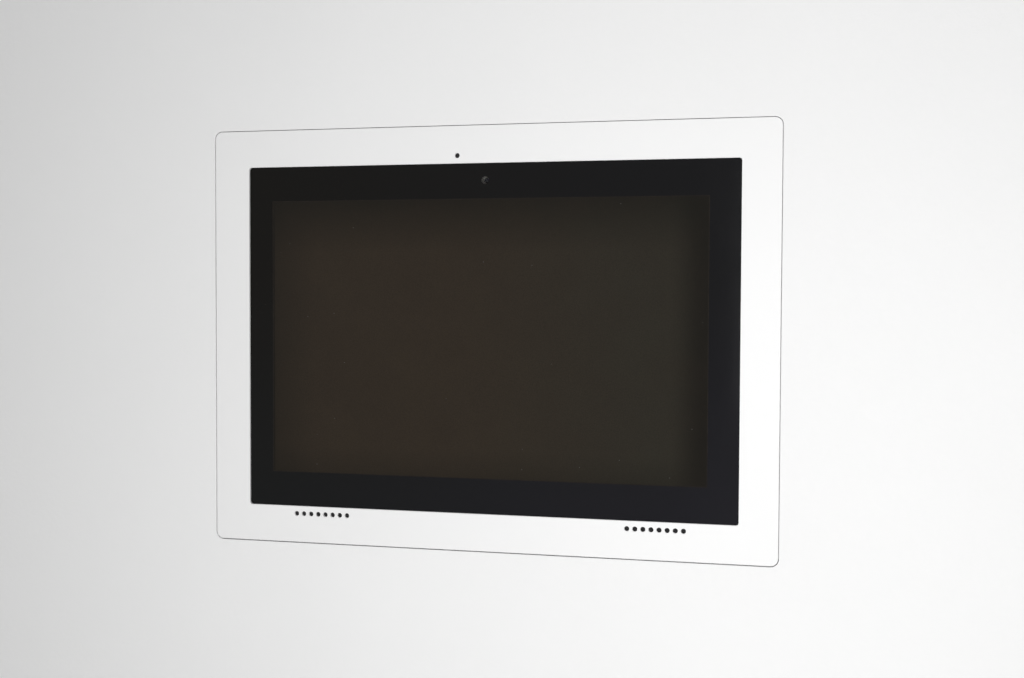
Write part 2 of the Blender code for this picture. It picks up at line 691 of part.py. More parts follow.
def build_tablet_glass():
    bm = block(TABLET_WIDTH, TABLET_HEIGHT, 0.0, GLASS_THICKNESS, TABLET_CORNER)
    ease_rim(bm, 0.0, GLASS_THICKNESS / 4)
    add_part("tablet_glass", bm, COVER_GLASS, (0.0, 0.0, 0.0), TABLET_ROOT)


def build_display_panel():
    width = SCREEN_WIDTH + 2 * PANEL_BORDER
    height = SCREEN_HEIGHT + 2 * PANEL_BORDER
    bm = block(width, height, 0.0, PANEL_THICKNESS)
    add_part("display_panel", bm, PANEL_BACKING, (0.0, PANEL_DEPTH, 0.0), TABLET_ROOT)


def build_tablet_chassis():
    """Shallow metal tray behind the display, inside the back shell's wall."""
    depth = INNARDS_DEPTH - SEAT_GAP - PANEL_DEPTH
    corner = TABLET_CORNER - SHELL_WALL - SEAT_GAP
    bm = block(*CHASSIS, 0.0, depth, corner)
    chassis = add_part("tablet_chassis", bm, CHASSIS_METAL, (0.0, PANEL_DEPTH, 0.0), TABLET_ROOT)
    pocket = (CHASSIS[0] - 2 * CHASSIS_WALL, CHASSIS[1] - 2 * CHASSIS_WALL)
    cut(chassis, block(*pocket, -CUT_OVERRUN, depth - CHASSIS_FLOOR, corner - CHASSIS_WALL))
    slot_z = (SCREEN_HEIGHT / 2 + PANEL_BORDER + pocket[1] / 2) / 2
    slot = (FLEX_SLOT_WIDTH, FLEX_SLOT_HEIGHT, 0.0, depth + CUT_OVERRUN)
    slots = [
        block(*slot, FLEX_SLOT_HEIGHT * FULL_ROUND, (x, slot_z))
        for x in mirrored(FLEX_SLOT_WIDTH)
    ]
    cut(chassis, merge(slots))


# Where the tablet's buttons, port and cameras lie
SHELL_TOP_INSIDE = SHELL_INNER[1] / 2
POWER_X = -TABLET_WIDTH / 2 + POWER_FROM_SIDE
VOLUME_X = -TABLET_WIDTH / 2 + VOLUME_FROM_SIDE
COLLAR_TOP = SHELL_TOP_INSIDE - SEAT_GAP
COLLAR_BOTTOM = COLLAR_TOP - BUTTON_COLLAR
BUTTON_TOP = TABLET_HEIGHT / 2 + BUTTON_STAND
PORT_Z = TABLET_HEIGHT / 2 - PORT_BELOW_TOP
BOARD_BOTTOM = SHELL_TOP_INSIDE - BOARD_TOP_ROOM - BOARD_HEIGHT
SPEAKERS_TOP = -SHELL_TOP_INSIDE + SEAT_GAP + TABLET_SPEAKER_HEIGHT
PORT_X = TABLET_WIDTH / 2 - SHELL_WALL - PORT_LENGTH / 2
REAR_CAMERA_POINT = (TABLET_WIDTH / 2 - REAR_CAMERA_INSET, TABLET_HEIGHT / 2 - REAR_CAMERA_INSET)


def bar(size, centre):
    bm = bmesh.new()
    bmesh.ops.create_cube(bm, size=1.0)
    bmesh.ops.scale(bm, vec=size, verts=bm.verts)
    bmesh.ops.translate(bm, vec=centre, verts=bm.verts)
    return bm


def build_tablet_back_shell():
    front = PANEL_DEPTH
    depth = TABLET_THICKNESS - front
    bm = block(TABLET_WIDTH, TABLET_HEIGHT, 0.0, depth, TABLET_CORNER)
    ease_rim(bm, depth, TABLET_BACK_EDGE, EDGE_SEGMENTS)
    shell = add_part("tablet_back_shell", bm, SHELL_PLASTIC, (0.0, front, 0.0), TABLET_ROOT)
    cut(shell, block(*SHELL_INNER, -CUT_OVERRUN, depth - SHELL_WALL, TABLET_CORNER - SHELL_WALL))
    reach = SHELL_WALL + 2 * CUT_OVERRUN
    middle = INNARDS_MIDDLE - front
    wall_z = (TABLET_HEIGHT - SHELL_WALL) / 2
    slot_depth = BUTTON_DEPTH + 2 * SLOT_CLEARANCE
    buttons = ((POWER_X, POWER_WIDTH), (VOLUME_X, VOLUME_WIDTH))
    openings = [
        bar((width + 2 * SLOT_CLEARANCE, slot_depth, reach), (x, middle, wall_z))
        for x, width in buttons
    ]
    mouth = (reach, INNARDS_THICKNESS - 2 * PORT_WALL, PORT_WIDTH)
    openings.append(bar(mouth, ((TABLET_WIDTH - SHELL_WALL) / 2, middle, PORT_Z)))
    sound_slot = (SOUND_SLOT_LENGTH, SOUND_SLOT_WIDTH, reach)
    openings += [
        bar(sound_slot, (side * SPEAKER_OFFSET + along, middle, -wall_z))
        for side in (-1, 1)
        for along in spaced((SOUND_SLOTS - 1) * SOUND_SLOT_PITCH, SOUND_SLOT_PITCH)
    ]
    cut(shell, merge(openings))
    camera_hole = REAR_CAMERA_DIAMETER + 2 * SLOT_CLEARANCE
    through = (depth - SHELL_WALL - CUT_OVERRUN / 2, depth + CUT_OVERRUN)
    cut(shell, drills([REAR_CAMERA_POINT], camera_hole, *through, MAGNET_SIDES))


def build_battery_pack():
    bm = block(BATTERY_WIDTH, BATTERY_HEIGHT, 0.0, INNARDS_THICKNESS, INNARDS_THICKNESS)
    place = (0.0, INNARDS_DEPTH, (BOARD_BOTTOM + SPEAKERS_TOP) / 2)
    battery = add_part("battery_pack", bm, CELL_WRAP, place, TABLET_ROOT)
    groove = block(
        CELL_GROOVE_WIDTH,
        BATTERY_HEIGHT + 2 * CUT_OVERRUN,
        INNARDS_THICKNESS - CELL_GROOVE_DEPTH,
        INNARDS_THICKNESS + CUT_OVERRUN,
    )
    cut(battery, groove)


def build_main_board():
    """Board with its shield cans and the two side switches under the buttons."""
    middle = BOARD_BOTTOM + BOARD_HEIGHT / 2
    width = SHELL_INNER[0] - 2 * BOARD_SIDE_ROOM
    bm = block(width, BOARD_HEIGHT, 0.0, BOARD_THICKNESS)
    board = add_part("main_board", bm, BOARD_LAMINATE, (0.0, INNARDS_DEPTH, middle), TABLET_ROOT)
    overlap = BOARD_THICKNESS / 2
    cans = [
        block(width, height, overlap, INNARDS_THICKNESS, 0.0, (x, 0.0))
        for x, width, height in SHIELD_SIZES
    ]
    join(board, merge(cans))
    reach = COLLAR_BOTTOM - BUTTON_TRAVEL - SEAT_GAP
    room = INNARDS_THICKNESS / 2 + SWITCH_DEPTH / 2
    switch_top = reach - middle
    switch_bottom = BOARD_HEIGHT / 2 - BOARD_THICKNESS
    centre_z = (switch_top + switch_bottom) / 2
    switches = [
        block(SWITCH_WIDTH, switch_top - switch_bottom, overlap, room, 0.0, (x, centre_z))
        for x in (POWER_X, VOLUME_X - VOLUME_WIDTH / 3, VOLUME_X + VOLUME_WIDTH / 3)
    ]
    join(board, merge(switches))
    notch = REAR_CAMERA_FLANGE + 4 * SLOT_CLEARANCE
    camera = (REAR_CAMERA_POINT[0], REAR_CAMERA_POINT[1] - middle)
    cut(board, block(notch, notch, -CUT_OVERRUN, INNARDS_THICKNESS + CUT_OVERRUN, 0.0, camera))


def build_tablet_speakers():
    for name, x in (("left", -SPEAKER_OFFSET), ("right", SPEAKER_OFFSET)):
        outline = (TABLET_SPEAKER_WIDTH, TABLET_SPEAKER_HEIGHT)
        bm = block(*outline, 0.0, INNARDS_THICKNESS, TABLET_SPEAKER_CORNER, segments=2)
        z = SPEAKERS_TOP - TABLET_SPEAKER_HEIGHT / 2
        add_part(f"tablet_speaker_{name}", bm, LENS_BLACK, (x, INNARDS_DEPTH, z), TABLET_ROOT)


def build_usb_port():
    """Open socket behind the mouth in the shell's right wall."""
    bm = block(PORT_LENGTH - 2 * SEAT_GAP, PORT_WIDTH, 0.0, INNARDS_THICKNESS)
    port = add_part("usb_port", bm, BRIGHT_STEEL, (PORT_X, INNARDS_DEPTH, PORT_Z), TABLET_ROOT)
    mouth = (PORT_LENGTH, INNARDS_THICKNESS - 2 * PORT_WALL, PORT_WIDTH - 2 * PORT_WALL)
    cut(port, bar(mouth, (PORT_WALL + SEAT_GAP, INNARDS_THICKNESS / 2, 0.0)))


def build_front_camera():
    """Stepped barrel with a cone in its nose that narrows to the lens."""
    barrel = FRONT_CAMERA_DIAMETER / 2
    nose = FRONT_CAMERA_NOSE / 2
    profile = [
        (0.0, -FRONT_CAMERA_RECESS),
        (FRONT_CAMERA_LENS / 2, -FRONT_CAMERA_RECESS),
        (FRONT_CAMERA_MOUTH / 2, 0.0),
        (nose, 0.0),
        (nose, -FRONT_CAMERA_STEP),
        (barrel, -FRONT_CAMERA_STEP),
        (barrel, -FRONT_CAMERA_LENGTH),
        (0.0, -FRONT_CAMERA_LENGTH),
    ]
    place = (0.0, PANEL_DEPTH, TABLET_HEIGHT / 2 - CAMERA_BELOW_TOP)
    turned("front_camera", profile, LENS_BLACK, place, TABLET_ROOT)


def build_rear_camera():
    """Barrel through the back shell, with a flange inside and a sunk lens at the back."""
    flange = REAR_CAMERA_FLANGE / 2
    radius = REAR_CAMERA_DIAMETER / 2
    shoulder = SHELL_WALL + SEAT_GAP
    front = TABLET_THICKNESS - INNARDS_DEPTH
    profile = [
        (0.0, front),
        (flange, front),
        (flange, shoulder),
        (radius, shoulder),
        (radius, 0.0),
        (REAR_CAMERA_MOUTH / 2, 0.0),
        (REAR_CAMERA_LENS / 2, REAR_CAMERA_RECESS),
        (0.0, REAR_CAMERA_RECESS),
    ]
    x, z = REAR_CAMERA_POINT
    turned("rear_camera", profile, LENS_BLACK, (x, TABLET_THICKNESS, z), TABLET_ROOT)


def button_body(width):
    """Cap that stands out of its slot, on a collar that keeps it in the shell.

    Its origin is the middle of the collar.
    """
    middle = (COLLAR_TOP + COLLAR_BOTTOM) / 2
    cap_top = BUTTON_TOP - middle
    cap_height = cap_top + BUTTON_CAP_ROOT
    cap = block(width, cap_height, -BUTTON_DEPTH / 2, BUTTON_DEPTH / 2, 0.0, (0.0, cap_top - cap_height / 2))
    half_depth = INNARDS_THICKNESS / 2
    collar = block(width + 2 * BUTTON_COLLAR_LAP, BUTTON_COLLAR, -half_depth, half_depth)
    return cap, collar, middle


def build_button(name, x, width):
    cap, collar, middle = button_body(width)
    button = add_part(name, collar, SHELL_PLASTIC, (x, INNARDS_MIDDLE, middle), TABLET_ROOT)
    join(button, cap)


def shade_round_pieces():
    for part in PARTS.objects:
        if part.type == "MESH" and any(modifier.type == "SCREW" for modifier in part.modifiers):
            part.data.shade_smooth()
            part.modifiers["turn"].use_smooth_shade = True


build_front_cover()
build_sound_meshes()
build_trim_ring()
build_magnets()
build_frame_screws()
build_back_box()
build_cable_grommet()
build_carrier_plate()
build_fastening_pads()
build_standoffs()
build_carrier_screws()
build_tablet_glass()
build_display_panel()
build_tablet_chassis()
build_tablet_back_shell()
build_battery_pack()
build_main_board()
build_tablet_speakers()
build_usb_port()
build_front_camera()
build_rear_camera()
build_button("power_button", POWER_X, POWER_WIDTH)
build_button("volume_rocker", VOLUME_X, VOLUME_WIDTH)
shade_round_pieces()
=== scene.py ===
"""Looks of the flush tablet wall mount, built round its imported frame.

Metres, with X to the right, Y into the wall and Z up, as in the frame.
"""

import json
import math
import random

import bmesh
import bpy
from mathutils import Matrix, Vector

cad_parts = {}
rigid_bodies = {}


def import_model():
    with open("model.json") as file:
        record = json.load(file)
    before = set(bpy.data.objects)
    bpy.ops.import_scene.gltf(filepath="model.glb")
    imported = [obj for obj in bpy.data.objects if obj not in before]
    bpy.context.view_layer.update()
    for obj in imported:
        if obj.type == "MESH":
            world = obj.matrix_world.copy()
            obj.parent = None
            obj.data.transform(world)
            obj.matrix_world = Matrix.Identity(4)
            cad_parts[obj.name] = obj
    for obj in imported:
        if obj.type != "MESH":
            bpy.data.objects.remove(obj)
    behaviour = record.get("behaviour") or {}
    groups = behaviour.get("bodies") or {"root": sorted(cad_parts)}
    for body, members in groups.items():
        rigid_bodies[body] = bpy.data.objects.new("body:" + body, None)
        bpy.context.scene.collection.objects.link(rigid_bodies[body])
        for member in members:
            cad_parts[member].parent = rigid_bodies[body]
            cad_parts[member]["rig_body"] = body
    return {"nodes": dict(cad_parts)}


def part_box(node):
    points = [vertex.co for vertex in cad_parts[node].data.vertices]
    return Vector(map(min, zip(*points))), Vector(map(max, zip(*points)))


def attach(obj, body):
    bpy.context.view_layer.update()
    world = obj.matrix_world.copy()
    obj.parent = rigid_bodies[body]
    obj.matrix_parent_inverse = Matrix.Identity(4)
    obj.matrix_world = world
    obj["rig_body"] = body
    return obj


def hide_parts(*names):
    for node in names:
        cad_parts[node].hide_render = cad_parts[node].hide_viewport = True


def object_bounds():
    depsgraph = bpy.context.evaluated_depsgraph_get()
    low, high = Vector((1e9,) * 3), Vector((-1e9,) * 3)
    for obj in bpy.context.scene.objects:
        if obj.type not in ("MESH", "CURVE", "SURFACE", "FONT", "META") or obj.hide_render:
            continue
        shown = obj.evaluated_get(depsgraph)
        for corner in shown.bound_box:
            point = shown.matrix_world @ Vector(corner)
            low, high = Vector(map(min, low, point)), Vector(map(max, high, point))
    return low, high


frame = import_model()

cad_low, cad_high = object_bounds()
random.seed(20)

# Camera, solved from the corners of the cover and of its window
EYE = (0.15189, -0.61603, 0.02060)
EYE_YAW = math.radians(13.240)
EYE_PITCH = math.radians(-1.9265)
EYE_ROLL = math.radians(0.235)
LENS = 44.21
SENSOR = 36.0

# Room
WALL_SKIM = 0.0001
WALL_GAP_LEFT = 0.00045
WALL_GAP_RIGHT = 0.00030
WALL_GAP_TOP = 0.00022
WALL_GAP_BOTTOM = 0.00045
WALL_WIDTH = 3.4
WALL_TOP = 1.4
FLOOR_LEVEL = -0.60
FLOOR_SIZE = 40.0
ROOM_LIGHT = 0.27
ROOM_VIEW = 0.80
FLOOR_GLOW = 0.45

# Lamps: name, place, target, size and power
LAMPS = (
    ("front_lamp", (0.165, -0.73, -0.05), (0.165, 0.0, -0.05), (0.11, 0.50), 4.15),
    ("rear_lamp", (-0.55, 0.95, 0.70), (0.0, 0.0, 0.0), (1.60, 1.60), 7.0),
    ("rear_low_lamp", (0.90, 0.80, -0.10), (0.0, 0.0, 0.0), (0.80, 0.80), 3.0),
)

# Front cover
COVER_BORDER = 0.0181
COVER_CORNER = 0.0036
COVER_EDGE = 0.0002
CUT_EDGE = 0.00008
WINDOW_CORNER = 0.0013
SOUND_HOLE = 0.0024
SPEAKER_HOLES = 8
SPEAKER_PITCH = 0.0038
SHADOW_GAP = 0.0004

# Acoustic mesh
WEAVE_PITCH = 0.00032
THREAD_WIDTH = 0.00013
THREAD_DEPTH = 0.00006
WEAVE_SWING = 0.00005
MESH_GLUE = 0.0009

# Tablet face. The screen darkens to its edges in painted shade, the print's shadow on the sunken panel: its
# left, top and bottom shades are a width and a level at the edge
SCREEN = (0.2170, 0.1356)
SCREEN_LINE = 0.00035
SCREEN_OFFSET = -0.0013
# Width at the screen's left edge held at full painted shadow
SCREEN_SHADOW_LEFT = 0.0011
SCREEN_SHADE_LEFT = (0.0230, 0.47)
SCREEN_SHADE_TOP = (0.0260, 0.15)
SCREEN_SHADE_BOTTOM = (0.0140, 0.60)
# Painted shade at the screen's right: the width it fades over, and the strip at full painted shadow
SCREEN_SHADE_RIGHT = 0.0190
SCREEN_DARK_RIGHT = 0.0020
SCREEN_TURN = (-0.03, 0.10)
# Where the print's painted reflection of the room changes, across and down
PRINT_REFLECTION_ACROSS = (-0.12, 0.12)
PRINT_REFLECTION_DOWN = (0.03, -0.085)
TABLET_CORNER = 0.0060
GLASS_EDGE = 0.0002
CAMERA_WINDOW = 0.0038
CAMERA_WINDOW_BACK = 0.0046
CAMERA_NOSE = 0.0044
CAMERA_MOUTH = 0.0038
CAMERA_LENS = 0.0020
CAMERA_STEP = 0.0007
CAMERA_RECESS = 0.0014
# Share of the cone, out from the lens, that stays gloss black as painted shade
CAMERA_SHADE = 0.35
CAMERA_SKEW = (0.0005, 0.0, -0.0002)
CAMERA_BARREL_EDGE = 0.0002
CAMERA_DOME = (0.9, 0.3)
CAMERA_DOME_REACH = 0.35
GLASS_REFLECTION = 0.12

# Screws: head, head height, shank, pitch, point, recess length, width and depth
FRAME_SCREW = (0.0070, 0.0018, 0.0035, 0.00127, 0.0022, 0.0038, 0.0009, 0.0011)
CARRIER_SCREW = (0.0075, 0.0013, 0.0040, 0.00070, 0.0006, 0.0040, 0.0010, 0.0009)
DOME_POWER = 0.45
DOME_RIM = 0.18
DOME_RISE = 0.82
HEAD_UNDERSIDE = 0.985
THREAD_DEPTH_SHARE = 0.55
THREAD_SHARPNESS = 1.25
SCREW_TIP = 0.1
RECESS_TAPER = (0.45, 0.6)
THREAD_ROWS = 6
SCREW_SIDES = 24
ROUND_SIDES = 48

# Magnets, standoffs and grommet: broken edges, and radii of bores and waist
MAGNET_EDGE = 0.0004
STANDOFF_BORE = 0.0023
STANDOFF_CHAMFER = 0.0004
GROMMET_BORE = 0.0035
GROMMET_WAIST = 0.0050
GROMMET_SEAT = 0.0009

# Hook and loop pads. The mushroom is radii in stems and heights in shares of the gap
PAD_BACKING = 0.00035
PAD_PITCH = 0.0015
PAD_MARGIN = 0.0010
PAD_STEM = 0.00028
PAD_MUSHROOM = ((1.0, 1.0), (1.0, 0.62), (2.0, 0.55), (2.0, 0.42), (1.0, 0.36), (1.0, 0.0))

# Rear camera: its lens is radii and heights from the back
REAR_CAMERA_RADIUS = 0.0045
REAR_CAMERA_STEP = 0.0018
REAR_CAMERA_EDGE = 0.0003
REAR_LENS_RADIUS = 0.0022
REAR_LENS = [
    (0.0, -0.00045),
    (0.0016, -0.00055),
    (0.0021, -0.00075),
    (0.0024, -0.0006),
    (0.0028, -0.0003),
    (0.0031, -0.0003),
    (0.0033, 0.0),
]

# Display panel
PANEL_LIP = 0.0050
PANEL_STAMP = 0.00045
PANEL_CORNER = 0.0008
STAMP_CORNER = 0.0040
DRIVER_WIDTH_SHARE = 0.72
DRIVER_HEIGHT = 0.0085
DRIVER_FROM_LIP = 0.0065
DRIVER_SINK = 0.00015
DRIVER_CORNER = 0.0005
DISPLAY_TAPES_X = (-0.055, 0.0, 0.055)
DISPLAY_TAPE = (0.018, 0.010)
DISPLAY_TAPE_FROM_LIP = 0.0160
DISPLAY_TAPE_SINK = 0.0003
DISPLAY_TAPE_CORNER = 0.0008

# Battery
CELL_EDGE = 0.0005
BATTERY_TAPE = (0.030, 0.0060)
BATTERY_TAPE_DEPTH = 0.0006
BATTERY_TAPE_CORNER = 0.0006
BATTERY_TAPE_FROM_TOP = 0.0040
BATTERY_TAPE_X_SHARE = 0.27
TAPE_RISE = 0.00006

# Main board: parts as width, height, rise and finish, and cans as x, width and height
BOARD_SHEET = 0.0010
BOARD_MIDDLE = 0.0160
BOARD_PARTS = (
    (0.0046, 0.0046, 0.0009, 2),
    (0.0016, 0.0009, 0.0006, 3),
    (0.0010, 0.0006, 0.0004, 3),
    (0.0030, 0.0022, 0.0009, 2),
    (0.0012, 0.0008, 0.0005, 4),
    (0.0085, 0.0026, 0.0010, 5),
)
BOARD_CANS = ((-0.0560, 0.0440, 0.0200), (0.0080, 0.0340, 0.0240), (0.0620, 0.0260, 0.0160))
BOARD_CAMERA_PLACE = (0.1095, 0.0715, 0.014, 0.014)
BOARD_TRIES = 520
BOARD_SPACING = 0.0006
BOARD_EDGE_LEFT = 0.0040
BOARD_EDGE_RIGHT = 0.0140
BOARD_REACH = (-0.0145, 0.0120)

# Loudspeakers in the tablet: well and cone are shares of width and height, and a corner
SPEAKER_CORNER = 0.0015
SPEAKER_WELL = (0.62, 0.66, 0.0034)
SPEAKER_CONE = (0.50, 0.46, 0.0024)
SPEAKER_WELL_DEPTH = 0.0005
SPEAKER_CONE_SINK = 0.0001
SPEAKER_CONE_EDGE = 0.00025

# Charging port: tongue and contacts are shares of the socket, and half thicknesses
TONGUE_SHARE = (0.75, 0.72)
TONGUE_SHIFT = 0.04
TONGUE_HALF = 0.0003
TONGUE_CORNER = 0.0003
CONTACT_HALF = 0.00036
CONTACT_COUNT = 8
CONTACT_PITCH = 0.0005
CONTACT_WIDTH = 0.00025
CONTACT_LENGTH_SHARE = 0.5

# Broken edges of sheet, moulded and small pieces
SHEET_EDGE = 0.0002
FINE_EDGE = 0.00015
TINY_EDGE = 0.0001

# Cutters' overshoot, merging distance, and angles that count as sharp or flat
CLEAR = 0.002
WELD = 0.000001
SHARP = math.radians(30)
CUT_SHARP = math.radians(60)
NEARLY_FLAT = math.radians(1)


class Finish:
    """A Principled material, with short calls for what varies over its surface."""

    def __init__(self, name, colour, roughness, metallic=0.0, extra=None):
        self.material = bpy.data.materials.new(name)
        self.material.use_nodes = True
        self.tree = self.material.node_tree
        self.shader = self.tree.nodes["Principled BSDF"]
        self.feed(self.shader, {"Base Color": (*colour, 1.0), "Roughness": roughness, "Metallic": metallic})
        self.feed(self.shader, extra or {})

    def feed(self, node, sockets):
        """Link or set a node's inputs, given by name or number."""
        for key, value in sockets.items():
            if isinstance(value, bpy.types.NodeSocket):
                self.tree.links.new(value, node.inputs[key])
            else:
                node.inputs[key].default_value = value

    def node(self, kind, sockets=None, **settings):
        made = self.tree.nodes.new("ShaderNode" + kind)
        for key, value in settings.items():
            setattr(made, key, value)
        self.feed(made, sockets or {})
        return made

    def position(self, stretch=(1.0, 1.0, 1.0)):
        """Place on the piece in metres, stretched along each axis."""
        place = self.node("TexCoord").outputs["Object"]
        return self.node("Mapping", {"Vector": place, "Scale": stretch}).outputs[0]

    def noise(self, scale, detail=2.0, stretch=(1.0, 1.0, 1.0)):
        """Cloudy noise, stretched out to run from 0 to 1."""
        sockets = {"Vector": self.position(stretch), "Scale": scale, "Detail": detail}
        return self.remap(self.node("TexNoise", sockets).outputs[0], 0.3, 0.7, 0.0, 1.0)

    def cells(self, scale, stretch=(1.0, 1.0, 1.0)):
        """Cells with a random value each, and the distance to each cell's seed."""
        made = self.node("TexVoronoi", {"Vector": self.position(stretch), "Scale": scale})
        value = self.node("SeparateColor", {0: made.outputs["Color"]}).outputs[0]
        return value, made.outputs["Distance"]

    def remap(self, value, low, high, start, end, kind="LINEAR"):
        sockets = {0: value, 1: low, 2: high, 3: start, 4: end}
        return self.node("MapRange", sockets, interpolation_type=kind).outputs[0]

    def maths(self, operation, *values):
        return self.node("Math", dict(enumerate(values)), operation=operation).outputs[0]

    def mix(self, factor, first, second):
        """Blend of two colours, each a triple or a socket."""
        sockets = {0: factor}
        for number, value in ((6, first), (7, second)):
            sockets[number] = value if isinstance(value, bpy.types.NodeSocket) else (*value, 1.0)
        return self.node("Mix", sockets, data_type="RGBA").outputs[2]

    def tint(self, factor, first, second):
        self.feed(self.shader, {"Base Color": self.mix(factor, first, second)})

    def gloss(self, factor, low, high):
        self.feed(self.shader, {"Roughness": self.remap(factor, 0.0, 1.0, low, high)})

    def bump(self, height, depth):
        """Relief of this depth in metres, on top of any made before."""
        made = self.node("Bump", {"Height": height, "Distance": depth})
        before = self.shader.inputs["Normal"].links
        if before:
            self.feed(made, {"Normal": before[0].from_socket})
        self.feed(self.shader, {"Normal": made.outputs[0]})


def shade_of(colour, factor):
    return tuple(channel * factor for channel in colour)


def coated(name, colour, roughness, grain, relief):
    """Paint or powder coat with a fine peel and a faint cloud."""
    finish = Finish(name, colour, roughness)
    finish.tint(finish.noise(12.0, 3.0), shade_of(colour, 0.988), shade_of(colour, 1.0))
    peel = finish.noise(grain, 3.0)
    finish.gloss(peel, roughness - 0.05, roughness + 0.06)
    finish.bump(peel, relief)
    return finish


def plated(name, colour, roughness, scratch_stretch=(1.0, 1.0, 1.0)):
    """Bright metal with fine scratches, handling marks and uneven gloss."""
    finish = Finish(name, colour, roughness, 1.0)
    finish.tint(finish.noise(160.0, 4.0), shade_of(colour, 0.88), colour)
    scratches = finish.noise(2600.0, 2.0, scratch_stretch)
    finish.gloss(scratches, roughness * 0.7, roughness * 1.35)
    finish.bump(scratches, 0.000004)
    return finish


def galvanised():
    """Hot dipped zinc: crystals of unlike brightness, with fine pits and a cloudy grain."""
    colour = (0.60, 0.61, 0.62)
    finish = Finish("zinc_steel", colour, 0.42, 1.0)
    crystal, distance = finish.cells(340.0)
    cloud = finish.noise(700.0, 5.0)
    mixed = finish.maths("ADD", finish.maths("MULTIPLY", crystal, 0.5), finish.maths("MULTIPLY", cloud, 0.5))
    finish.tint(mixed, shade_of(colour, 0.84), shade_of(colour, 1.06))
    finish.gloss(mixed, 0.36, 0.48)
    finish.bump(finish.maths("ADD", distance, cloud), 0.000006)
    return finish


def moulded(name, colour, roughness, grain=1600.0, relief=0.000012):
    """Textured moulding, with a fine spark-eroded grain."""
    finish = Finish(name, colour, roughness)
    spark = finish.noise(grain, 3.0)
    finish.tint(finish.noise(30.0, 3.0), shade_of(colour, 0.82), shade_of(colour, 1.1))
    finish.gloss(spark, roughness - 0.08, min(1.0, roughness + 0.10))
    finish.bump(spark, relief)
    return finish


def black_print():
    """Black print seen through touch glass with a dull-reflecting coat, and a painted reflection of the room
    that makes it lighter and bluer towards the lower right.
    """
    extra = {"Specular IOR Level": GLASS_REFLECTION}
    finish = Finish("black_print", (0.0040, 0.0040, 0.0040), 0.05, extra=extra)
    place = finish.node("SeparateXYZ", {0: finish.position()})
    side = finish.remap(place.outputs[0], *PRINT_REFLECTION_ACROSS, 0.0, 1.0)
    low = finish.remap(place.outputs[2], *PRINT_REFLECTION_DOWN, 0.0, 1.0)
    # Painted reflection of the room: the print is warm at the upper left and lighter and bluer towards the
    # lower right
    upper = finish.mix(side, (0.0036, 0.0029, 0.0019), (0.0044, 0.0044, 0.0055))
    lower = finish.mix(side, (0.0052, 0.0056, 0.0058), (0.0098, 0.0094, 0.0130))
    colour = finish.mix(low, upper, lower)
    finish.tint(finish.maths("MULTIPLY", finish.noise(9.0, 2.0), 0.2), colour, (0.0052, 0.0050, 0.0050))
    smear = finish.noise(22.0, 4.0, (1.0, 1.0, 0.4))
    finish.gloss(smear, 0.03, 0.09)
    return finish


def dark_screen():
    """Switched-off display: brown at the left to olive at the right, and darker to its edges in painted
    shade, the print's shadow on the sunken panel.
    """
    extra = {"Specular IOR Level": GLASS_REFLECTION}
    finish = Finish("dark_screen", (0.020, 0.015, 0.011), 0.06, extra=extra)
    place = finish.node("SeparateXYZ", {0: finish.position()})
    across, up = finish.maths("SUBTRACT", place.outputs[0], SCREEN_OFFSET), place.outputs[2]
    half_x, half_z = SCREEN[0] / 2, SCREEN[1] / 2
    # Painted shade: the mask darkens the screen towards its edges, fully in a thin strip at the left
    middle = finish.maths("GREATER_THAN", across, SCREEN_SHADOW_LEFT - half_x)
    for value, edge, inner, level in (
        (across, -half_x, SCREEN_SHADE_LEFT[0] - half_x, SCREEN_SHADE_LEFT[1]),
        (up, half_z, half_z - SCREEN_SHADE_TOP[0], SCREEN_SHADE_TOP[1]),
        (up, -half_z, SCREEN_SHADE_BOTTOM[0] - half_z, SCREEN_SHADE_BOTTOM[1]),
    ):
        middle = finish.maths("MULTIPLY", middle, finish.remap(value, edge, inner, level, 1.0))
    # Painted shade along the right edge, fully dark in its last strip
    dark_x, full_x = half_x - SCREEN_DARK_RIGHT, half_x - SCREEN_SHADE_RIGHT
    fall = finish.remap(across, dark_x, full_x, 0.0, 1.0, "SMOOTHSTEP")
    middle = finish.maths("MULTIPLY", middle, fall)
    side = finish.remap(across, *SCREEN_TURN, 0.0, 1.0, "SMOOTHSTEP")
    field = finish.mix(side, (0.0302, 0.0219, 0.0140), (0.0240, 0.0213, 0.0150))
    # The colour at the edges is the painted shadow; the mask blends it into the field
    colour = finish.mix(middle, (0.0068, 0.0060, 0.0040), field)
    blotch = finish.noise(45.0, 4.0)
    colour = finish.mix(finish.maths("MULTIPLY", blotch, 0.25), colour, (0.0200, 0.0140, 0.0098))
    grain = finish.noise(1900.0, 1.0)
    darker = finish.mix(finish.maths("MULTIPLY", grain, 0.45), colour, (0.0060, 0.0050, 0.0040))
    colour = finish.mix(0.75, colour, darker)
    # Rare bright specks: painted sparkle, glints of light on the screen
    value, distance = finish.cells(210.0)
    rare = finish.maths("GREATER_THAN", value, 0.80)
    speck = finish.maths("MULTIPLY", finish.maths("LESS_THAN", distance, 0.045), rare)
    finish.tint(finish.maths("MULTIPLY", speck, 0.8), colour, (0.090, 0.085, 0.080))
    return finish


def screen_line():
    extra = {"Specular IOR Level": GLASS_REFLECTION}
    finish = Finish("screen_line", (0.0140, 0.0110, 0.0085), 0.08, extra=extra)
    finish.tint(finish.noise(300.0), (0.0115, 0.0086, 0.0068), (0.0165, 0.0130, 0.0098))
    return finish


def clear_glass():
    finish = Finish("clear_glass", (0.96, 0.97, 0.97), 0.0, extra={"Transmission Weight": 1.0, "IOR": 1.2})
    finish.gloss(finish.noise(600.0), 0.0, 0.02)
    return finish


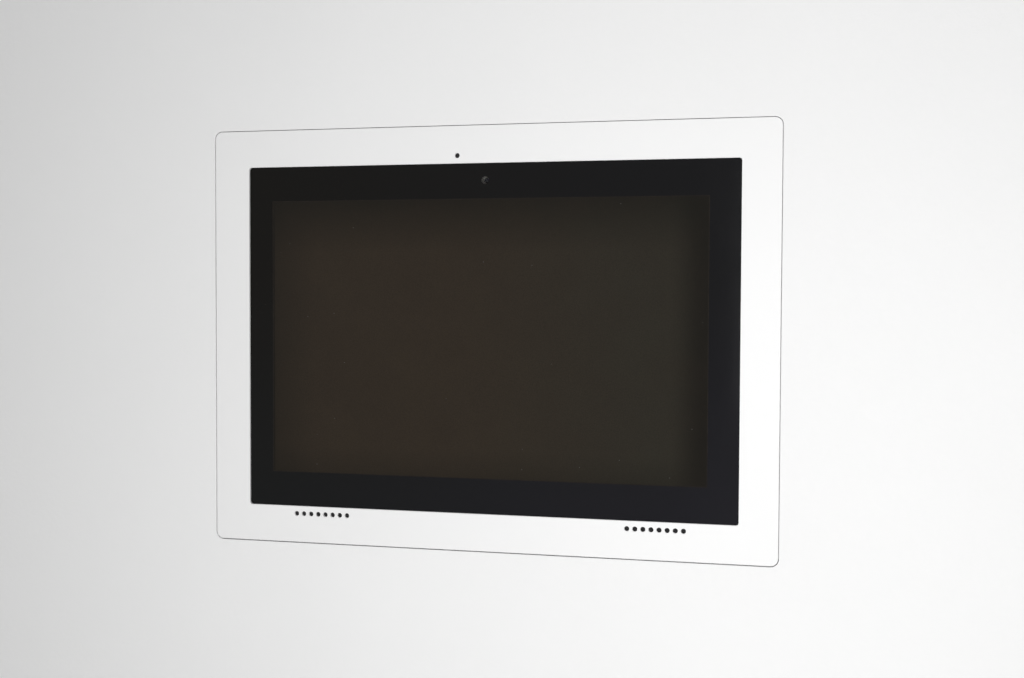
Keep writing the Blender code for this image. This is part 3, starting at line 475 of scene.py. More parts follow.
def woven_black():
    finish = Finish("black_mesh", (0.010, 0.010, 0.011), 0.80)
    fibre = finish.noise(9000.0, 2.0)
    finish.tint(fibre, (0.006, 0.006, 0.007), (0.016, 0.016, 0.017))
    finish.gloss(fibre, 0.65, 0.95)
    return finish


def laminate():
    """Green solder mask over copper tracks."""
    finish = Finish("board_laminate", (0.015, 0.070, 0.035), 0.38)
    distance = finish.cells(420.0, (1.0, 1.0, 2.4))[1]
    tracks = finish.maths("LESS_THAN", distance, 0.22)
    finish.tint(finish.maths("MULTIPLY", tracks, 0.6), (0.008, 0.055, 0.028), (0.030, 0.120, 0.055))
    finish.bump(tracks, 0.000015)
    finish.gloss(finish.noise(500.0), 0.28, 0.45)
    return finish


def foil_wrap():
    """Aluminised pouch film with soft wrinkles."""
    finish = Finish("cell_wrap", (0.42, 0.42, 0.44), 0.34, 0.75)
    wrinkle = finish.noise(120.0, 5.0, (1.0, 1.0, 0.35))
    finish.tint(wrinkle, (0.34, 0.34, 0.36), (0.48, 0.48, 0.50))
    finish.gloss(wrinkle, 0.26, 0.46)
    finish.bump(wrinkle, 0.00012)
    return finish


def make_finishes():
    black = (0.020, 0.020, 0.022)
    made = {
        "white_coat": coated("white_coat", (0.86, 0.86, 0.86), 0.55, 1100.0, 0.000010),
        "wall_paint": coated("wall_paint", (0.86, 0.86, 0.86), 0.70, 420.0, 0.000035),
        "floor_paint": coated("floor_paint", (0.80, 0.80, 0.79), 0.60, 200.0, 0.000050),
        "zinc_steel": galvanised(),
        "bright_steel": plated("bright_steel", (0.72, 0.73, 0.75), 0.24),
        "nickel": plated("nickel", (0.76, 0.74, 0.70), 0.17),
        "contact_gold": plated("contact_gold", (0.83, 0.62, 0.30), 0.25),
        "chassis_metal": moulded("chassis_metal", (0.30, 0.31, 0.32), 0.52, 2200.0, 0.00001),
        "panel_steel": plated("panel_steel", (0.60, 0.60, 0.61), 0.36, (0.05, 1.0, 1.0)),
        "black_mesh": woven_black(),
        "black_rubber": moulded("black_rubber", (0.015, 0.015, 0.015), 0.72, 900.0, 0.00002),
        "pad_fibre": moulded("pad_fibre", black, 0.80, 3000.0, 0.00003),
        "shell_plastic": moulded("shell_plastic", (0.022, 0.022, 0.025), 0.55, 2400.0, 0.00001),
        "gloss_black": moulded("gloss_black", black, 0.22, 2000.0, 0.000002),
        "camera_grey": moulded("camera_grey", (0.050, 0.047, 0.042), 0.60, 6000.0, 0.000002),
        "lens_coat": Finish("lens_coat", (0.006, 0.006, 0.010), 0.03, extra={"Specular IOR Level": 0.2}),
        "chip_black": moulded("chip_black", (0.014, 0.014, 0.015), 0.50),
        "tan_ceramic": moulded("tan_ceramic", (0.30, 0.20, 0.12), 0.45),
        "amber_tape": moulded("amber_tape", (0.42, 0.17, 0.03), 0.25, 400.0, 0.00003),
        "black_print": black_print(),
        "dark_screen": dark_screen(),
        "screen_line": screen_line(),
        "clear_glass": clear_glass(),
        "board_laminate": laminate(),
        "cell_wrap": foil_wrap(),
    }
    made["chassis_metal"].feed(made["chassis_metal"].shader, {"Metallic": 0.9})
    lens = made["lens_coat"]
    lens.gloss(lens.noise(800.0), 0.02, 0.06)
    lens.tint(lens.noise(300.0), (0.004, 0.005, 0.012), (0.010, 0.007, 0.012))
    return {name: finish.material for name, finish in made.items()}


FINISHES = make_finishes()


def solid_of(node):
    """A copy of a node's solid, with its triangles merged back into flat faces."""
    bm = bmesh.new()
    bm.from_mesh(frame["nodes"][node].data)
    bmesh.ops.remove_doubles(bm, verts=bm.verts, dist=WELD)
    bmesh.ops.dissolve_limit(bm, angle_limit=NEARLY_FLAT, verts=bm.verts, edges=bm.edges)
    return bm


def along_depth(edge):
    start, end = edge.verts
    return abs(start.co.y - end.co.y) > 0.9 * edge.calc_length()


def slab(width, height, front, back, corner=0.0, centre=(0.0, 0.0), segments=12):
    """Block from y front to y back, with its corners rounded in the XZ plane."""
    bm = bmesh.new()
    bmesh.ops.create_cube(bm, size=1.0)
    bmesh.ops.scale(bm, vec=(width, back - front, height), verts=bm.verts)
    if corner > 0.0:
        upright = [edge for edge in bm.edges if along_depth(edge)]
        bmesh.ops.bevel(bm, geom=upright, offset=corner, segments=segments, profile=0.5, affect="EDGES")
    bmesh.ops.translate(bm, vec=(centre[0], (front + back) / 2, centre[1]), verts=bm.verts)
    return bm


def rods(points, diameter, front, back, sides=32):
    """Round bars along Y at each (x, z)."""
    bm = bmesh.new()
    for x, z in points:
        place = Matrix.Translation((x, (front + back) / 2, z)) @ Matrix.Rotation(math.pi / 2, 4, "X")
        shape = {"segments": sides, "radius1": diameter / 2, "radius2": diameter / 2, "depth": back - front}
        bmesh.ops.create_cone(bm, cap_ends=True, matrix=place, **shape)
    return bm


def skin(rows):
    """Closed surface through rings of points. A ring of one point is a pole."""
    bm = bmesh.new()
    made = [[bm.verts.new(point) for point in row] for row in rows]
    for upper, lower in zip(made, made[1:]):
        for index in range(max(len(upper), len(lower))):
            after = index + 1
            corners = [upper[index % len(upper)], upper[after % len(upper)]]
            corners += [lower[after % len(lower)], lower[index % len(lower)]]
            bm.faces.new(dict.fromkeys(corners))
    bmesh.ops.recalc_face_normals(bm, faces=bm.faces)
    return bm


def ring(radius, height, sides):
    """Points of a circle round Z, or its centre alone where the radius is nothing."""
    if radius <= 0.0:
        return [(0.0, 0.0, height)]
    turns = [2 * math.pi * index / sides for index in range(sides)]
    return [(radius * math.cos(turn), radius * math.sin(turn), height) for turn in turns]


def revolved(profile, sides=ROUND_SIDES, closed=False):
    """Solid of (radius, height) points turned round Z. A closed profile makes a ring."""
    rows = [ring(radius, height, sides) for radius, height in profile]
    if closed:
        rows.append(rows[0])
    bm = skin(rows)
    if closed:
        bmesh.ops.remove_doubles(bm, verts=bm.verts, dist=WELD)
        bmesh.ops.recalc_face_normals(bm, faces=bm.faces)
    return bm


def merge(bms):
    """One bmesh that holds the shapes of several."""
    whole = bmesh.new()
    for bm in bms:
        mesh = bpy.data.meshes.new("merged")
        bm.to_mesh(mesh)
        bm.free()
        whole.from_mesh(mesh)
        bpy.data.meshes.remove(mesh)
    return whole


def loose_object(bm, name):
    mesh = bpy.data.meshes.new(name)
    bm.to_mesh(mesh)
    bm.free()
    made = bpy.data.objects.new(name, mesh)
    bpy.context.scene.collection.objects.link(made)
    return made


def carve(bm, cutter):
    """The bmesh with the cutter's shape cut out of it."""
    solid = loose_object(bm, "solid")
    tool = loose_object(cutter, "tool")
    modifier = solid.modifiers.new("cut", "BOOLEAN")
    modifier.object = tool
    modifier.solver = "EXACT"
    graph = bpy.context.evaluated_depsgraph_get()
    result = bmesh.new()
    result.from_object(solid, graph)
    for item in (solid, tool):
        mesh = item.data
        bpy.data.objects.remove(item)
        bpy.data.meshes.remove(mesh)
    bmesh.ops.remove_doubles(result, verts=result.verts, dist=WELD)
    return result


def ease(bm, size, segments=2, chosen=None, angle=SHARP):
    """Round the edges that turn by more than the angle, or only those chosen."""
    edges = [
        edge
        for edge in bm.edges
        if edge.is_manifold and edge.calc_face_angle(0.0) > angle and (chosen is None or chosen(edge))
    ]
    bmesh.ops.bevel(
        bm, geom=edges, offset=size, segments=segments, profile=0.5, affect="EDGES", clamp_overlap=True
    )
    return bm


def at_depth(depth, tolerance=0.00001):
    """Test for edges that lie at this y."""
    return lambda edge: all(abs(vertex.co.y - depth) < tolerance for vertex in edge.verts)


def paint(bm, index, chosen):
    """Give a material number to the faces that a test of centre and normal picks."""
    for face in bm.faces:
        if chosen(face.calc_center_median(), face.normal):
            face.material_index = index
    return bm


def finished_mesh(bm, name, finishes, angle=SHARP):
    mesh = bpy.data.meshes.new(name)
    bm.normal_update()
    bm.to_mesh(mesh)
    bm.free()
    for finish in finishes:
        mesh.materials.append(FINISHES[finish])
    mesh.shade_smooth()
    mesh.set_sharp_from_angle(angle=angle)
    return mesh


def dress(node, shape, slot, *finishes, matrix=None):
    """Put a piece in a node's place. The shape is a bmesh, or a mesh that several share."""
    name = node + "_finish"
    mesh = shape if isinstance(shape, bpy.types.Mesh) else finished_mesh(shape, name, finishes or (slot,))
    piece = bpy.data.objects.new(name, mesh)
    piece.matrix_world = matrix or Matrix.Identity(4)
    bpy.context.scene.collection.objects.link(piece)
    weighted = piece.modifiers.new("even_normals", "WEIGHTED_NORMAL")
    weighted.keep_sharp = True
    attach(piece, frame["nodes"][node]["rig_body"])
    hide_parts(node)
    return piece


def size_of(node):
    """A node's size and centre."""
    low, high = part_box(node)
    return high - low, (low + high) / 2


def sound_points():
    """Middles of the sound holes, from the meshes behind them."""
    points = []
    for name in ("speaker_mesh_left", "speaker_mesh_right"):
        centre = size_of(name)[1]
        start = centre.x - (SPEAKER_HOLES - 1) * SPEAKER_PITCH / 2
        points += [(start + index * SPEAKER_PITCH, centre.z) for index in range(SPEAKER_HOLES)]
    centre = size_of("microphone_mesh")[1]
    return points + [(centre.x, centre.z)]


def build_front_cover():
    low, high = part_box("front_cover")
    width, height = high.x - low.x, high.z - low.z
    bm = slab(width, height, low.y, high.y, COVER_CORNER)
    ease(bm, COVER_EDGE, 3, at_depth(low.y))
    window = (width - 2 * COVER_BORDER, height - 2 * COVER_BORDER)
    bm = carve(bm, slab(*window, low.y - CLEAR, high.y + CLEAR, WINDOW_CORNER))
    bm = carve(bm, rods(sound_points(), SOUND_HOLE, low.y - CLEAR, high.y + CLEAR))
    ease(bm, CUT_EDGE, 2, at_depth(low.y), CUT_SHARP)
    dress("front_cover", bm, "white_coat")


def thread(start, end, swing_start, lift_sign, crossings):
    """Flat woven thread from start to end in XZ, rising and falling over its crossings."""
    along = Vector((end[0] - start[0], 0.0, end[1] - start[1]))
    side = Vector((along.z, 0.0, -along.x)).normalized() * THREAD_WIDTH
    rows = []
    for step in range(2 * crossings + 1):
        share = step / (2 * crossings)
        lift = lift_sign * WEAVE_SWING * math.sin(math.pi * (share * crossings + swing_start))
        middle = Vector((start[0], lift, start[1])) + along * share
        deep = Vector((0.0, THREAD_DEPTH, 0.0))
        rows.append([middle + side, middle + deep, middle - side, middle - deep])
    return skin([[rows[0][0] * 0.5 + rows[0][2] * 0.5]] + rows + [[rows[-1][0] * 0.5 + rows[-1][2] * 0.5]])


def build_sound_mesh(node):
    """Woven strip in a frame of black adhesive film."""
    low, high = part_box(node)
    size, centre = size_of(node)
    middle = (centre.x, centre.z)
    film = slab(size.x, size.z, low.y, high.y, size.z / 4, middle)
    inner = (size.x - 2 * MESH_GLUE, size.z - 2 * MESH_GLUE)
    film = carve(film, slab(*inner, low.y - CLEAR, high.y + CLEAR, size.z / 6, middle))
    ease(film, CUT_EDGE / 2, 1)
    reach_x, reach_z = inner[0] / 2 + WEAVE_PITCH, inner[1] / 2 + WEAVE_PITCH
    count_x, count_z = round(2 * reach_x / WEAVE_PITCH), round(2 * reach_z / WEAVE_PITCH)
    threads = []
    for index in range(count_z):
        z = -reach_z + (index + 0.5) * 2 * reach_z / count_z
        threads.append(thread((-reach_x, z), (reach_x, z), 0.5, (-1) ** index, count_x))
    for index in range(count_x):
        x = -reach_x + (index + 0.5) * 2 * reach_x / count_x
        threads.append(thread((x, -reach_z), (x, reach_z), 0.5, -((-1) ** index), count_z))
    weave = merge(threads)
    bmesh.ops.translate(weave, vec=centre, verts=weave.verts)
    dress(node, merge([film, weave]), "black_mesh")


def embed_disc(bm, centre, radius, depth, sides=32):
    """Outline a disc in the flat face at this depth that holds its centre, and return its face."""
    flat = [face for face in bm.faces if all(abs(vertex.co.y - depth) < WELD for vertex in face.verts)]
    holder = next(face for face in flat if bmesh.geometry.intersect_face_point(face, Vector(centre)))
    border = list(holder.edges)
    facing = holder.normal.copy()
    bmesh.ops.delete(bm, geom=[holder], context="FACES_ONLY")
    turns = [2 * math.pi * index / sides for index in range(sides)]
    rim = [
        bm.verts.new((centre[0] + radius * math.cos(turn), depth, centre[2] + radius * math.sin(turn)))
        for turn in turns
    ]
    border += [bm.edges.new((rim[index - 1], rim[index])) for index in range(sides)]
    bmesh.ops.triangle_fill(bm, use_beauty=True, edges=border)
    disc = bm.faces.new(rim)
    bmesh.ops.recalc_face_normals(bm, faces=bm.faces)
    if disc.normal.dot(facing) < 0.0:
        bmesh.ops.reverse_faces(bm, faces=bm.faces)
    return disc


def build_tablet_glass():
    """Touch glass: black print with an opening for the screen and a small one for the camera."""
    low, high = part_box("tablet_glass")
    size, centre = size_of("tablet_glass")
    bm = slab(size.x, size.z, low.y, high.y, TABLET_CORNER, (centre.x, centre.z))
    ease(bm, GLASS_EDGE, 3, at_depth(low.y))
    half_x, half_z = SCREEN[0] / 2, SCREEN[1] / 2
    middle = Vector((SCREEN_OFFSET, 0.0, 0.0))
    for inset in (0.0, SCREEN_LINE):
        for axis, half in ((0, half_x - inset), (2, half_z - inset)):
            for side in (-1, 1):
                normal = Vector((0.0, 0.0, 0.0))
                normal[axis] = side
                place = middle + normal * half
                whole = bm.verts[:] + bm.edges[:] + bm.faces[:]
                bmesh.ops.bisect_plane(bm, geom=whole, plane_co=place, plane_no=normal, dist=WELD)

    def in_screen(inset):
        def test(point, normal):
            inside = abs(point.x - middle.x) < half_x - inset and abs(point.z) < half_z - inset
            return inside and normal.y < -0.5

        return test

    camera = size_of("front_camera")[1]
    paint(bm, 1, in_screen(0.0))
    paint(bm, 2, in_screen(SCREEN_LINE))
    for depth, diameter in ((low.y, CAMERA_WINDOW), (high.y, CAMERA_WINDOW_BACK)):
        disc = embed_disc(bm, (camera.x, depth, camera.z), diameter / 2, depth)
        disc.material_index = 3
    dress("tablet_glass", bm, "cover_glass", "black_print", "screen_line", "dark_screen", "clear_glass")


def screw_mesh(name, length, values):
    """Pan head screw with a cross recess and a real thread, its head towards +Z."""
    head, head_height, shank, pitch, point, recess, recess_width, recess_depth = values
    rows = []
    for step in range(7, -1, -1):
        turn = math.pi / 2 * step / 7
        height = head_height * (DOME_RIM + DOME_RISE * math.sin(turn))
        rows.append(ring(head / 2 * math.cos(turn) ** DOME_POWER, height, SCREW_SIDES))
    rows.append(ring(head / 2 * HEAD_UNDERSIDE, 0.0, SCREW_SIDES))
    major, minor = shank / 2, shank / 2 - THREAD_DEPTH_SHARE * pitch
    count = round(length / pitch * THREAD_ROWS)
    for row in range(count + 1):
        depth = length * row / count
        fade = min(1.0, max(0.0, (depth - pitch / 2) / pitch))
        taper = min(1.0, (length - depth) / point * (1.0 - SCREW_TIP) + SCREW_TIP)
        points = []
        for index in range(SCREW_SIDES):
            turn = 2 * math.pi * index / SCREW_SIDES
            phase = (depth / pitch - index / SCREW_SIDES) % 1.0
            crest = max(0.0, 1.0 - abs(2 * phase - 1) * THREAD_SHARPNESS) * fade
            radius = (minor + (major - minor) * crest) * taper
            points.append((radius * math.cos(turn), radius * math.sin(turn), -depth))
        rows.append(points)
    rows.append([(0.0, 0.0, -length)])
    bm = skin(rows)
    for angle in (0.0, math.pi / 2):
        cutter = bmesh.new()
        bmesh.ops.create_cube(cutter, size=1.0)
        bmesh.ops.scale(cutter, vec=(recess, recess_width, 2 * recess_depth), verts=cutter.verts)
        for vertex in cutter.verts:
            if vertex.co.z < 0.0:
                vertex.co.x *= RECESS_TAPER[0]
                vertex.co.y *= RECESS_TAPER[1]
        place = Matrix.Translation((0.0, 0.0, head_height)) @ Matrix.Rotation(angle, 4, "Z")
        bmesh.ops.transform(cutter, matrix=place, verts=cutter.verts)
        bm = carve(bm, cutter)
    return finished_mesh(bm, name, ("bright_steel",))


def facing_front(x, y, z, turn=0.0):
    """Placement that turns a piece's +Z to the front."""
    upright = Matrix.Translation((x, y, z)) @ Matrix.Rotation(math.pi / 2, 4, "X")
    return upright @ Matrix.Rotation(turn, 4, "Z")


def dress_from_back(names, mesh, slot):
    """Put a shared mesh in each node's place, standing on the node's back."""
    for name in names:
        centre = size_of(name)[1]
        dress(name, mesh, slot, matrix=facing_front(centre.x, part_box(name)[1].y, centre.z))


def nodes_named(prefix):
    return sorted(name for name in frame["nodes"] if name.startswith(prefix))


def build_screws(prefix, values):
    names = nodes_named(prefix)
    head_height = values[1]
    mesh = screw_mesh(prefix + "mesh", size_of(names[0])[0].y - head_height, values)
    for name in names:
        head_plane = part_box(name)[0].y + head_height
        centre = size_of(name)[1]
        place = facing_front(centre.x, head_plane, centre.z, random.uniform(0.0, math.pi))
        dress(name, mesh, "bright_steel", matrix=place)


def build_magnets():
    names = nodes_named("cover_magnet_")
    size = size_of(names[0])[0]
    radius, edge = size.x / 2, MAGNET_EDGE
    arc = [math.pi / 2 * step / 3 for step in range(4)]
    top = [(radius - edge + edge * math.sin(turn), size.y - edge + edge * math.cos(turn)) for turn in arc]
    bottom = [(radius - edge + edge * math.cos(turn), edge - edge * math.sin(turn)) for turn in arc]
    mesh = finished_mesh(revolved([(0.0, size.y)] + top + bottom + [(0.0, 0.0)]), "magnet_mesh", ("nickel",))
    dress_from_back(names, mesh, "nickel")


def build_standoffs():
    """Turned spacers with chamfered ends."""
    names = nodes_named("standoff_")
    size = size_of(names[0])[0]
    outer, bore, chamfer = size.x / 2, STANDOFF_BORE, STANDOFF_CHAMFER
    profile = [
        (bore + chamfer, size.y),
        (outer - chamfer, size.y),
        (outer, size.y - chamfer),
        (outer, chamfer),
        (outer - chamfer, 0.0),
        (bore + chamfer, 0.0),
        (bore, chamfer),
        (bore, size.y - chamfer),
    ]
    mesh = finished_mesh(revolved(profile, closed=True), "standoff_mesh", ("nickel",))
    dress_from_back(names, mesh, "nickel")


def build_grommet():
    """Rubber grommet with rounded lips."""
    size, centre = size_of("cable_grommet")
    bore, lip = GROMMET_BORE, size.x / 2
    waist, seat = GROMMET_WAIST, GROMMET_SEAT
    top = size.z / 2
    roll = (top - seat) / 2
    arc = [math.pi * step / 8 for step in range(9)]
    upper = [(lip - roll + roll * math.sin(turn), seat + roll + roll * math.cos(turn)) for turn in arc]
    lower = [(radius, -height) for radius, height in reversed(upper)]
    mouth = [(bore + roll / 2, top), (bore, top - roll / 2)]
    profile = upper + [(waist, seat), (waist, -seat)] + lower
    profile += [(radius, -height) for radius, height in mouth] + mouth[::-1]
    bm = revolved(profile, closed=True)
    bmesh.ops.translate(bm, vec=centre, verts=bm.verts)
    dress("cable_grommet", bm, "black_rubber")


def build_pad(node):
    """Two backing strips held apart by rows of interlocked mushroom stems."""
    low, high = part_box(node)
    size, centre = size_of(node)
    middle = (centre.x, centre.z)
    strips = [
        slab(size.x, size.z, low.y, low.y + PAD_BACKING, size.x / 6, middle),
        slab(size.x, size.z, high.y - PAD_BACKING, high.y, size.x / 6, middle),
    ]
    gap = size.y - 2 * PAD_BACKING
    profile = [(0.0, gap)] + [(PAD_STEM * wide, gap * up) for wide, up in PAD_MUSHROOM] + [(0.0, 0.0)]
    field = []
    count_x = int((size.x - 2 * PAD_MARGIN) / PAD_PITCH)
    count_z = int((size.z - 2 * PAD_MARGIN) / PAD_PITCH)
    for i in range(count_x + 1):
        for j in range(count_z + 1):
            x = centre.x + (i - count_x / 2) * PAD_PITCH
            z = centre.z + (j - count_z / 2) * PAD_PITCH
            bm = revolved(profile, 6)
            place = facing_front(x, high.y - PAD_BACKING, z)
            bmesh.ops.transform(bm, matrix=place, verts=bm.verts)
            field.append(bm)
    dress(node, merge(strips + field), "pad_fibre")


def build_eased(node, slot, size, segments=2):
    """A piece whose solid has the right shape, with its sharp edges broken."""
    return dress(node, ease(solid_of(node), size, segments), slot)


def build_front_camera():
    """Small camera: a dull grey cone that narrows to a glass dome, its deeper part left gloss black as
    painted shade.
    """
    low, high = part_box("front_camera")
    size, centre = size_of("front_camera")
    barrel, nose, mouth, lens = size.x / 2, CAMERA_NOSE / 2, CAMERA_MOUTH / 2, CAMERA_LENS / 2
    dome = []
    for step in range(6):
        turn = math.pi / 2 * step / 5
        radius = lens * CAMERA_DOME[0] * math.sin(turn)
        dome.append((radius, lens * CAMERA_DOME[1] * math.cos(turn) - CAMERA_RECESS))
    shade = lens + CAMERA_SHADE * (mouth - lens)
    cone = [(lens, -CAMERA_RECESS), (shade, (CAMERA_SHADE - 1.0) * CAMERA_RECESS), (mouth, 0.0)]
    profile = dome + cone + [(nose, 0.0), (nose, -CAMERA_STEP)]
    edge = CAMERA_BARREL_EDGE
    profile += [(barrel - edge, -CAMERA_STEP), (barrel, -CAMERA_STEP - edge)]
    profile += [(barrel, -size.y), (0.0, -size.y)]
    bm = revolved(profile)
    bmesh.ops.transform(bm, matrix=facing_front(centre.x, low.y, centre.z), verts=bm.verts)
    for vertex in bm.verts:
        near = math.hypot(vertex.co.x - centre.x, vertex.co.z - centre.z) < shade + WELD
        if near and vertex.co.y < high.y - WELD:
            vertex.co += Vector(CAMERA_SKEW)

    def between(front, back):
        def test(point, normal):
            away = math.hypot(point.x - centre.x, point.z - centre.z)
            return away < mouth and normal.y < 0.2 and front < point.y - low.y < back

        return test

    # Grey from the cone's mouth to the shade ring; deeper in, the cone stays gloss black, painted shade
    paint(bm, 1, between(0.0, (1.0 - CAMERA_SHADE) * CAMERA_RECESS))
    paint(bm, 2, between(CAMERA_RECESS - lens * CAMERA_DOME_REACH, CAMERA_RECESS))
    dress("front_camera", bm, "lens_black", "gloss_black", "camera_grey", "lens_coat")


def build_rear_camera():
    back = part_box("rear_camera")[1].y
    size, centre = size_of("rear_camera")
    flange, front = size.x / 2, size.y
    radius, edge, step = REAR_CAMERA_RADIUS, REAR_CAMERA_EDGE, REAR_CAMERA_STEP
    barrel = [(radius - edge, 0.0), (radius, -edge), (radius, -step)]
    bm = revolved(REAR_LENS + barrel + [(flange, -step), (flange, -front), (0.0, -front)])
    turn = Matrix.Translation((centre.x, back, centre.z)) @ Matrix.Rotation(-math.pi / 2, 4, "X")
    bmesh.ops.transform(bm, matrix=turn, verts=bm.verts)
    paint(bm, 1, lambda point, normal: math.hypot(point.x - centre.x, point.z - centre.z) < REAR_LENS_RADIUS)
    dress("rear_camera", bm, "lens_black", "gloss_black", "lens_coat")


def build_display_panel():
    """Display in a thin steel tray, with a stamped back, its driver strip and three tapes."""
    low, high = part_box("display_panel")
    size, centre = size_of("display_panel")
    middle = (centre.x, centre.z)
    floor = high.y - PANEL_STAMP
    inner = (size.x - 2 * PANEL_LIP, size.z - 2 * PANEL_LIP)
    bm = slab(size.x, size.z, low.y, high.y, PANEL_CORNER, middle, 3)
    bm = carve(bm, slab(*inner, floor, high.y + CLEAR, STAMP_CORNER, middle))
    ease(bm, FINE_EDGE, 2)
    paint(bm, 1, lambda point, normal: normal.y < -0.9)
    edge = low.z + PANEL_LIP
    driver = (size.x * DRIVER_WIDTH_SHARE, DRIVER_HEIGHT)
    strip = slab(*driver, floor, high.y - DRIVER_SINK, DRIVER_CORNER, (0.0, edge + DRIVER_FROM_LIP))
    paint(strip, 2, lambda point, normal: True)
    tapes = []
    for x in DISPLAY_TAPES_X:
        place = (x, edge + DISPLAY_TAPE_FROM_LIP)
        tapes.append(slab(*DISPLAY_TAPE, floor, high.y - DISPLAY_TAPE_SINK, DISPLAY_TAPE_CORNER, place))
    tape = merge(tapes)
    paint(tape, 3, lambda point, normal: True)
    finishes = ("panel_steel", "dark_screen", "board_laminate", "amber_tape")
    dress("display_panel", merge([bm, strip, tape]), "panel_backing", *finishes)


def build_battery():
    """Two foil pouches, each with a strip of tape near its top."""
    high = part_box("battery_pack")[1]
    size, centre = size_of("battery_pack")
    bm = solid_of("battery_pack")
    ease(bm, CELL_EDGE, 3)
    tapes = []
    front, back = high.y - BATTERY_TAPE_DEPTH, high.y + TAPE_RISE
    for side in (-1, 1):
        place = (centre.x + side * size.x * BATTERY_TAPE_X_SHARE, high.z - BATTERY_TAPE_FROM_TOP)
        tapes.append(slab(*BATTERY_TAPE, front, back, BATTERY_TAPE_CORNER, place))
    tape = merge(tapes)
    paint(tape, 1, lambda point, normal: True)
    dress("battery_pack", merge([bm, tape]), "cell_wrap", "cell_wrap", "amber_tape")


def board_components(low, high, middle_z, cans):
    """Chips, capacitors and connectors in the free places of the board."""
    shapes = []
    placed = list(cans)
    top = low.y + BOARD_SHEET
    for attempt in range(BOARD_TRIES):
        width, height, rise, finish = BOARD_PARTS[random.randrange(len(BOARD_PARTS))]
        x = random.uniform(low.x + BOARD_EDGE_LEFT, high.x - BOARD_EDGE_RIGHT)
        z = random.uniform(middle_z + BOARD_REACH[0], middle_z + BOARD_REACH[1])
        clear = all(
            abs(x - other_x) > (width + other_width) / 2 + BOARD_SPACING
            or abs(z - other_z) > (height + other_height) / 2 + BOARD_SPACING
            for other_x, other_z, other_width, other_height in placed
        )
        if clear:
            placed.append((x, z, width, height))
            chip = slab(width, height, top, top + rise, TINY_EDGE, (x, z), 2)
            paint(chip, finish, lambda point, normal: True)
            shapes.append(chip)
    return shapes


def build_main_board():
    """Green board with shield cans, chips and side switches."""
    low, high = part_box("main_board")
    bm = solid_of("main_board")
    ease(bm, TINY_EDGE, 1)
    above = low.y + BOARD_SHEET + TINY_EDGE
    paint(bm, 1, lambda point, normal: point.y > above)
    middle_z = low.z + BOARD_MIDDLE
    cans = [(x, middle_z, width, height) for x, width, height in BOARD_CANS] + [BOARD_CAMERA_PLACE]
    shapes = board_components(low, high, middle_z, cans)
    finishes = ("board_laminate", "bright_steel", "chip_black", "tan_ceramic", "contact_gold", "gloss_black")
    dress("main_board", merge([bm] + shapes), "board_laminate", *finishes)


def build_tablet_speaker(node):
    """Sealed box with an oval cone in a soft surround."""
    low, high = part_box(node)
    size, centre = size_of(node)
    middle = (centre.x, centre.z)
    floor = high.y - SPEAKER_WELL_DEPTH
    wide, tall, corner = SPEAKER_WELL
    bm = slab(size.x, size.z, low.y, high.y, SPEAKER_CORNER, middle, 6)
    bm = carve(bm, slab(size.x * wide, size.z * tall, floor, high.y + CLEAR, corner, middle))
    ease(bm, SHEET_EDGE, 2)
    wide, tall, corner = SPEAKER_CONE
    cone = slab(size.x * wide, size.z * tall, floor, high.y - SPEAKER_CONE_SINK, corner, middle)
    ease(cone, SPEAKER_CONE_EDGE, 3)
    paint(cone, 1, lambda point, normal: True)
    dress(node, merge([bm, cone]), "lens_black", "gloss_black", "panel_steel")


def build_usb_port():
    """Steel socket with its tongue and contacts."""
    size, centre = size_of("usb_port")
    bm = ease(solid_of("usb_port"), TINY_EDGE, 2)
    front, back = centre.y - TONGUE_HALF, centre.y + TONGUE_HALF
    place = (centre.x - size.x * TONGUE_SHIFT, centre.z)
    tongue = slab(size.x * TONGUE_SHARE[0], size.z * TONGUE_SHARE[1], front, back, TONGUE_CORNER, place, 3)
    paint(tongue, 1, lambda point, normal: True)
    contacts = []
    front, back = centre.y - CONTACT_HALF, centre.y + CONTACT_HALF
    for index in range(CONTACT_COUNT):
        z = centre.z + (index - (CONTACT_COUNT - 1) / 2) * CONTACT_PITCH
        contacts.append(slab(size.x * CONTACT_LENGTH_SHARE, CONTACT_WIDTH, front, back, 0.0, (centre.x, z)))
    gold = merge(contacts)
    paint(gold, 2, lambda point, normal: True)
    finishes = ("bright_steel", "gloss_black", "contact_gold")
    dress("usb_port", merge([bm, tongue, gold]), "bright_steel", *finishes)


def build_wall():
    """Painted wall round the mount, skimmed to the rim's inner edge."""
    low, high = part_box("front_cover")
    left, right = low.x - WALL_GAP_LEFT, high.x + WALL_GAP_RIGHT
    bottom, top = low.z - WALL_GAP_BOTTOM, high.z + WALL_GAP_TOP
    middle = ((left + right) / 2, (bottom + top) / 2)
    hole = slab(right - left, top - bottom, -CLEAR, 0.0, COVER_CORNER + SHADOW_GAP, middle)
    keep = [face for face in hole.faces if face.normal.y < -0.9]
    outline = [vertex.co.copy() for vertex in keep[0].verts]
    hole.free()
    bm = bmesh.new()
    y = cad_low.y - WALL_SKIM
    reach = WALL_WIDTH / 2
    outer = [(-reach, FLOOR_LEVEL), (reach, FLOOR_LEVEL), (reach, WALL_TOP), (-reach, WALL_TOP)]
    for loop in (outer, [(point.x, point.z) for point in outline]):
        verts = [bm.verts.new((x, y, z)) for x, z in loop]
        for index in range(len(verts)):
            bm.edges.new((verts[index - 1], verts[index]))
    bmesh.ops.triangle_fill(bm, use_beauty=True, edges=bm.edges[:])
    bm.normal_update()
    turned = [face for face in bm.faces if face.normal.y > 0.0]
    bmesh.ops.reverse_faces(bm, faces=turned)
    wall = loose_object(bm, "wall")
    wall.data.materials.append(FINISHES["wall_paint"])


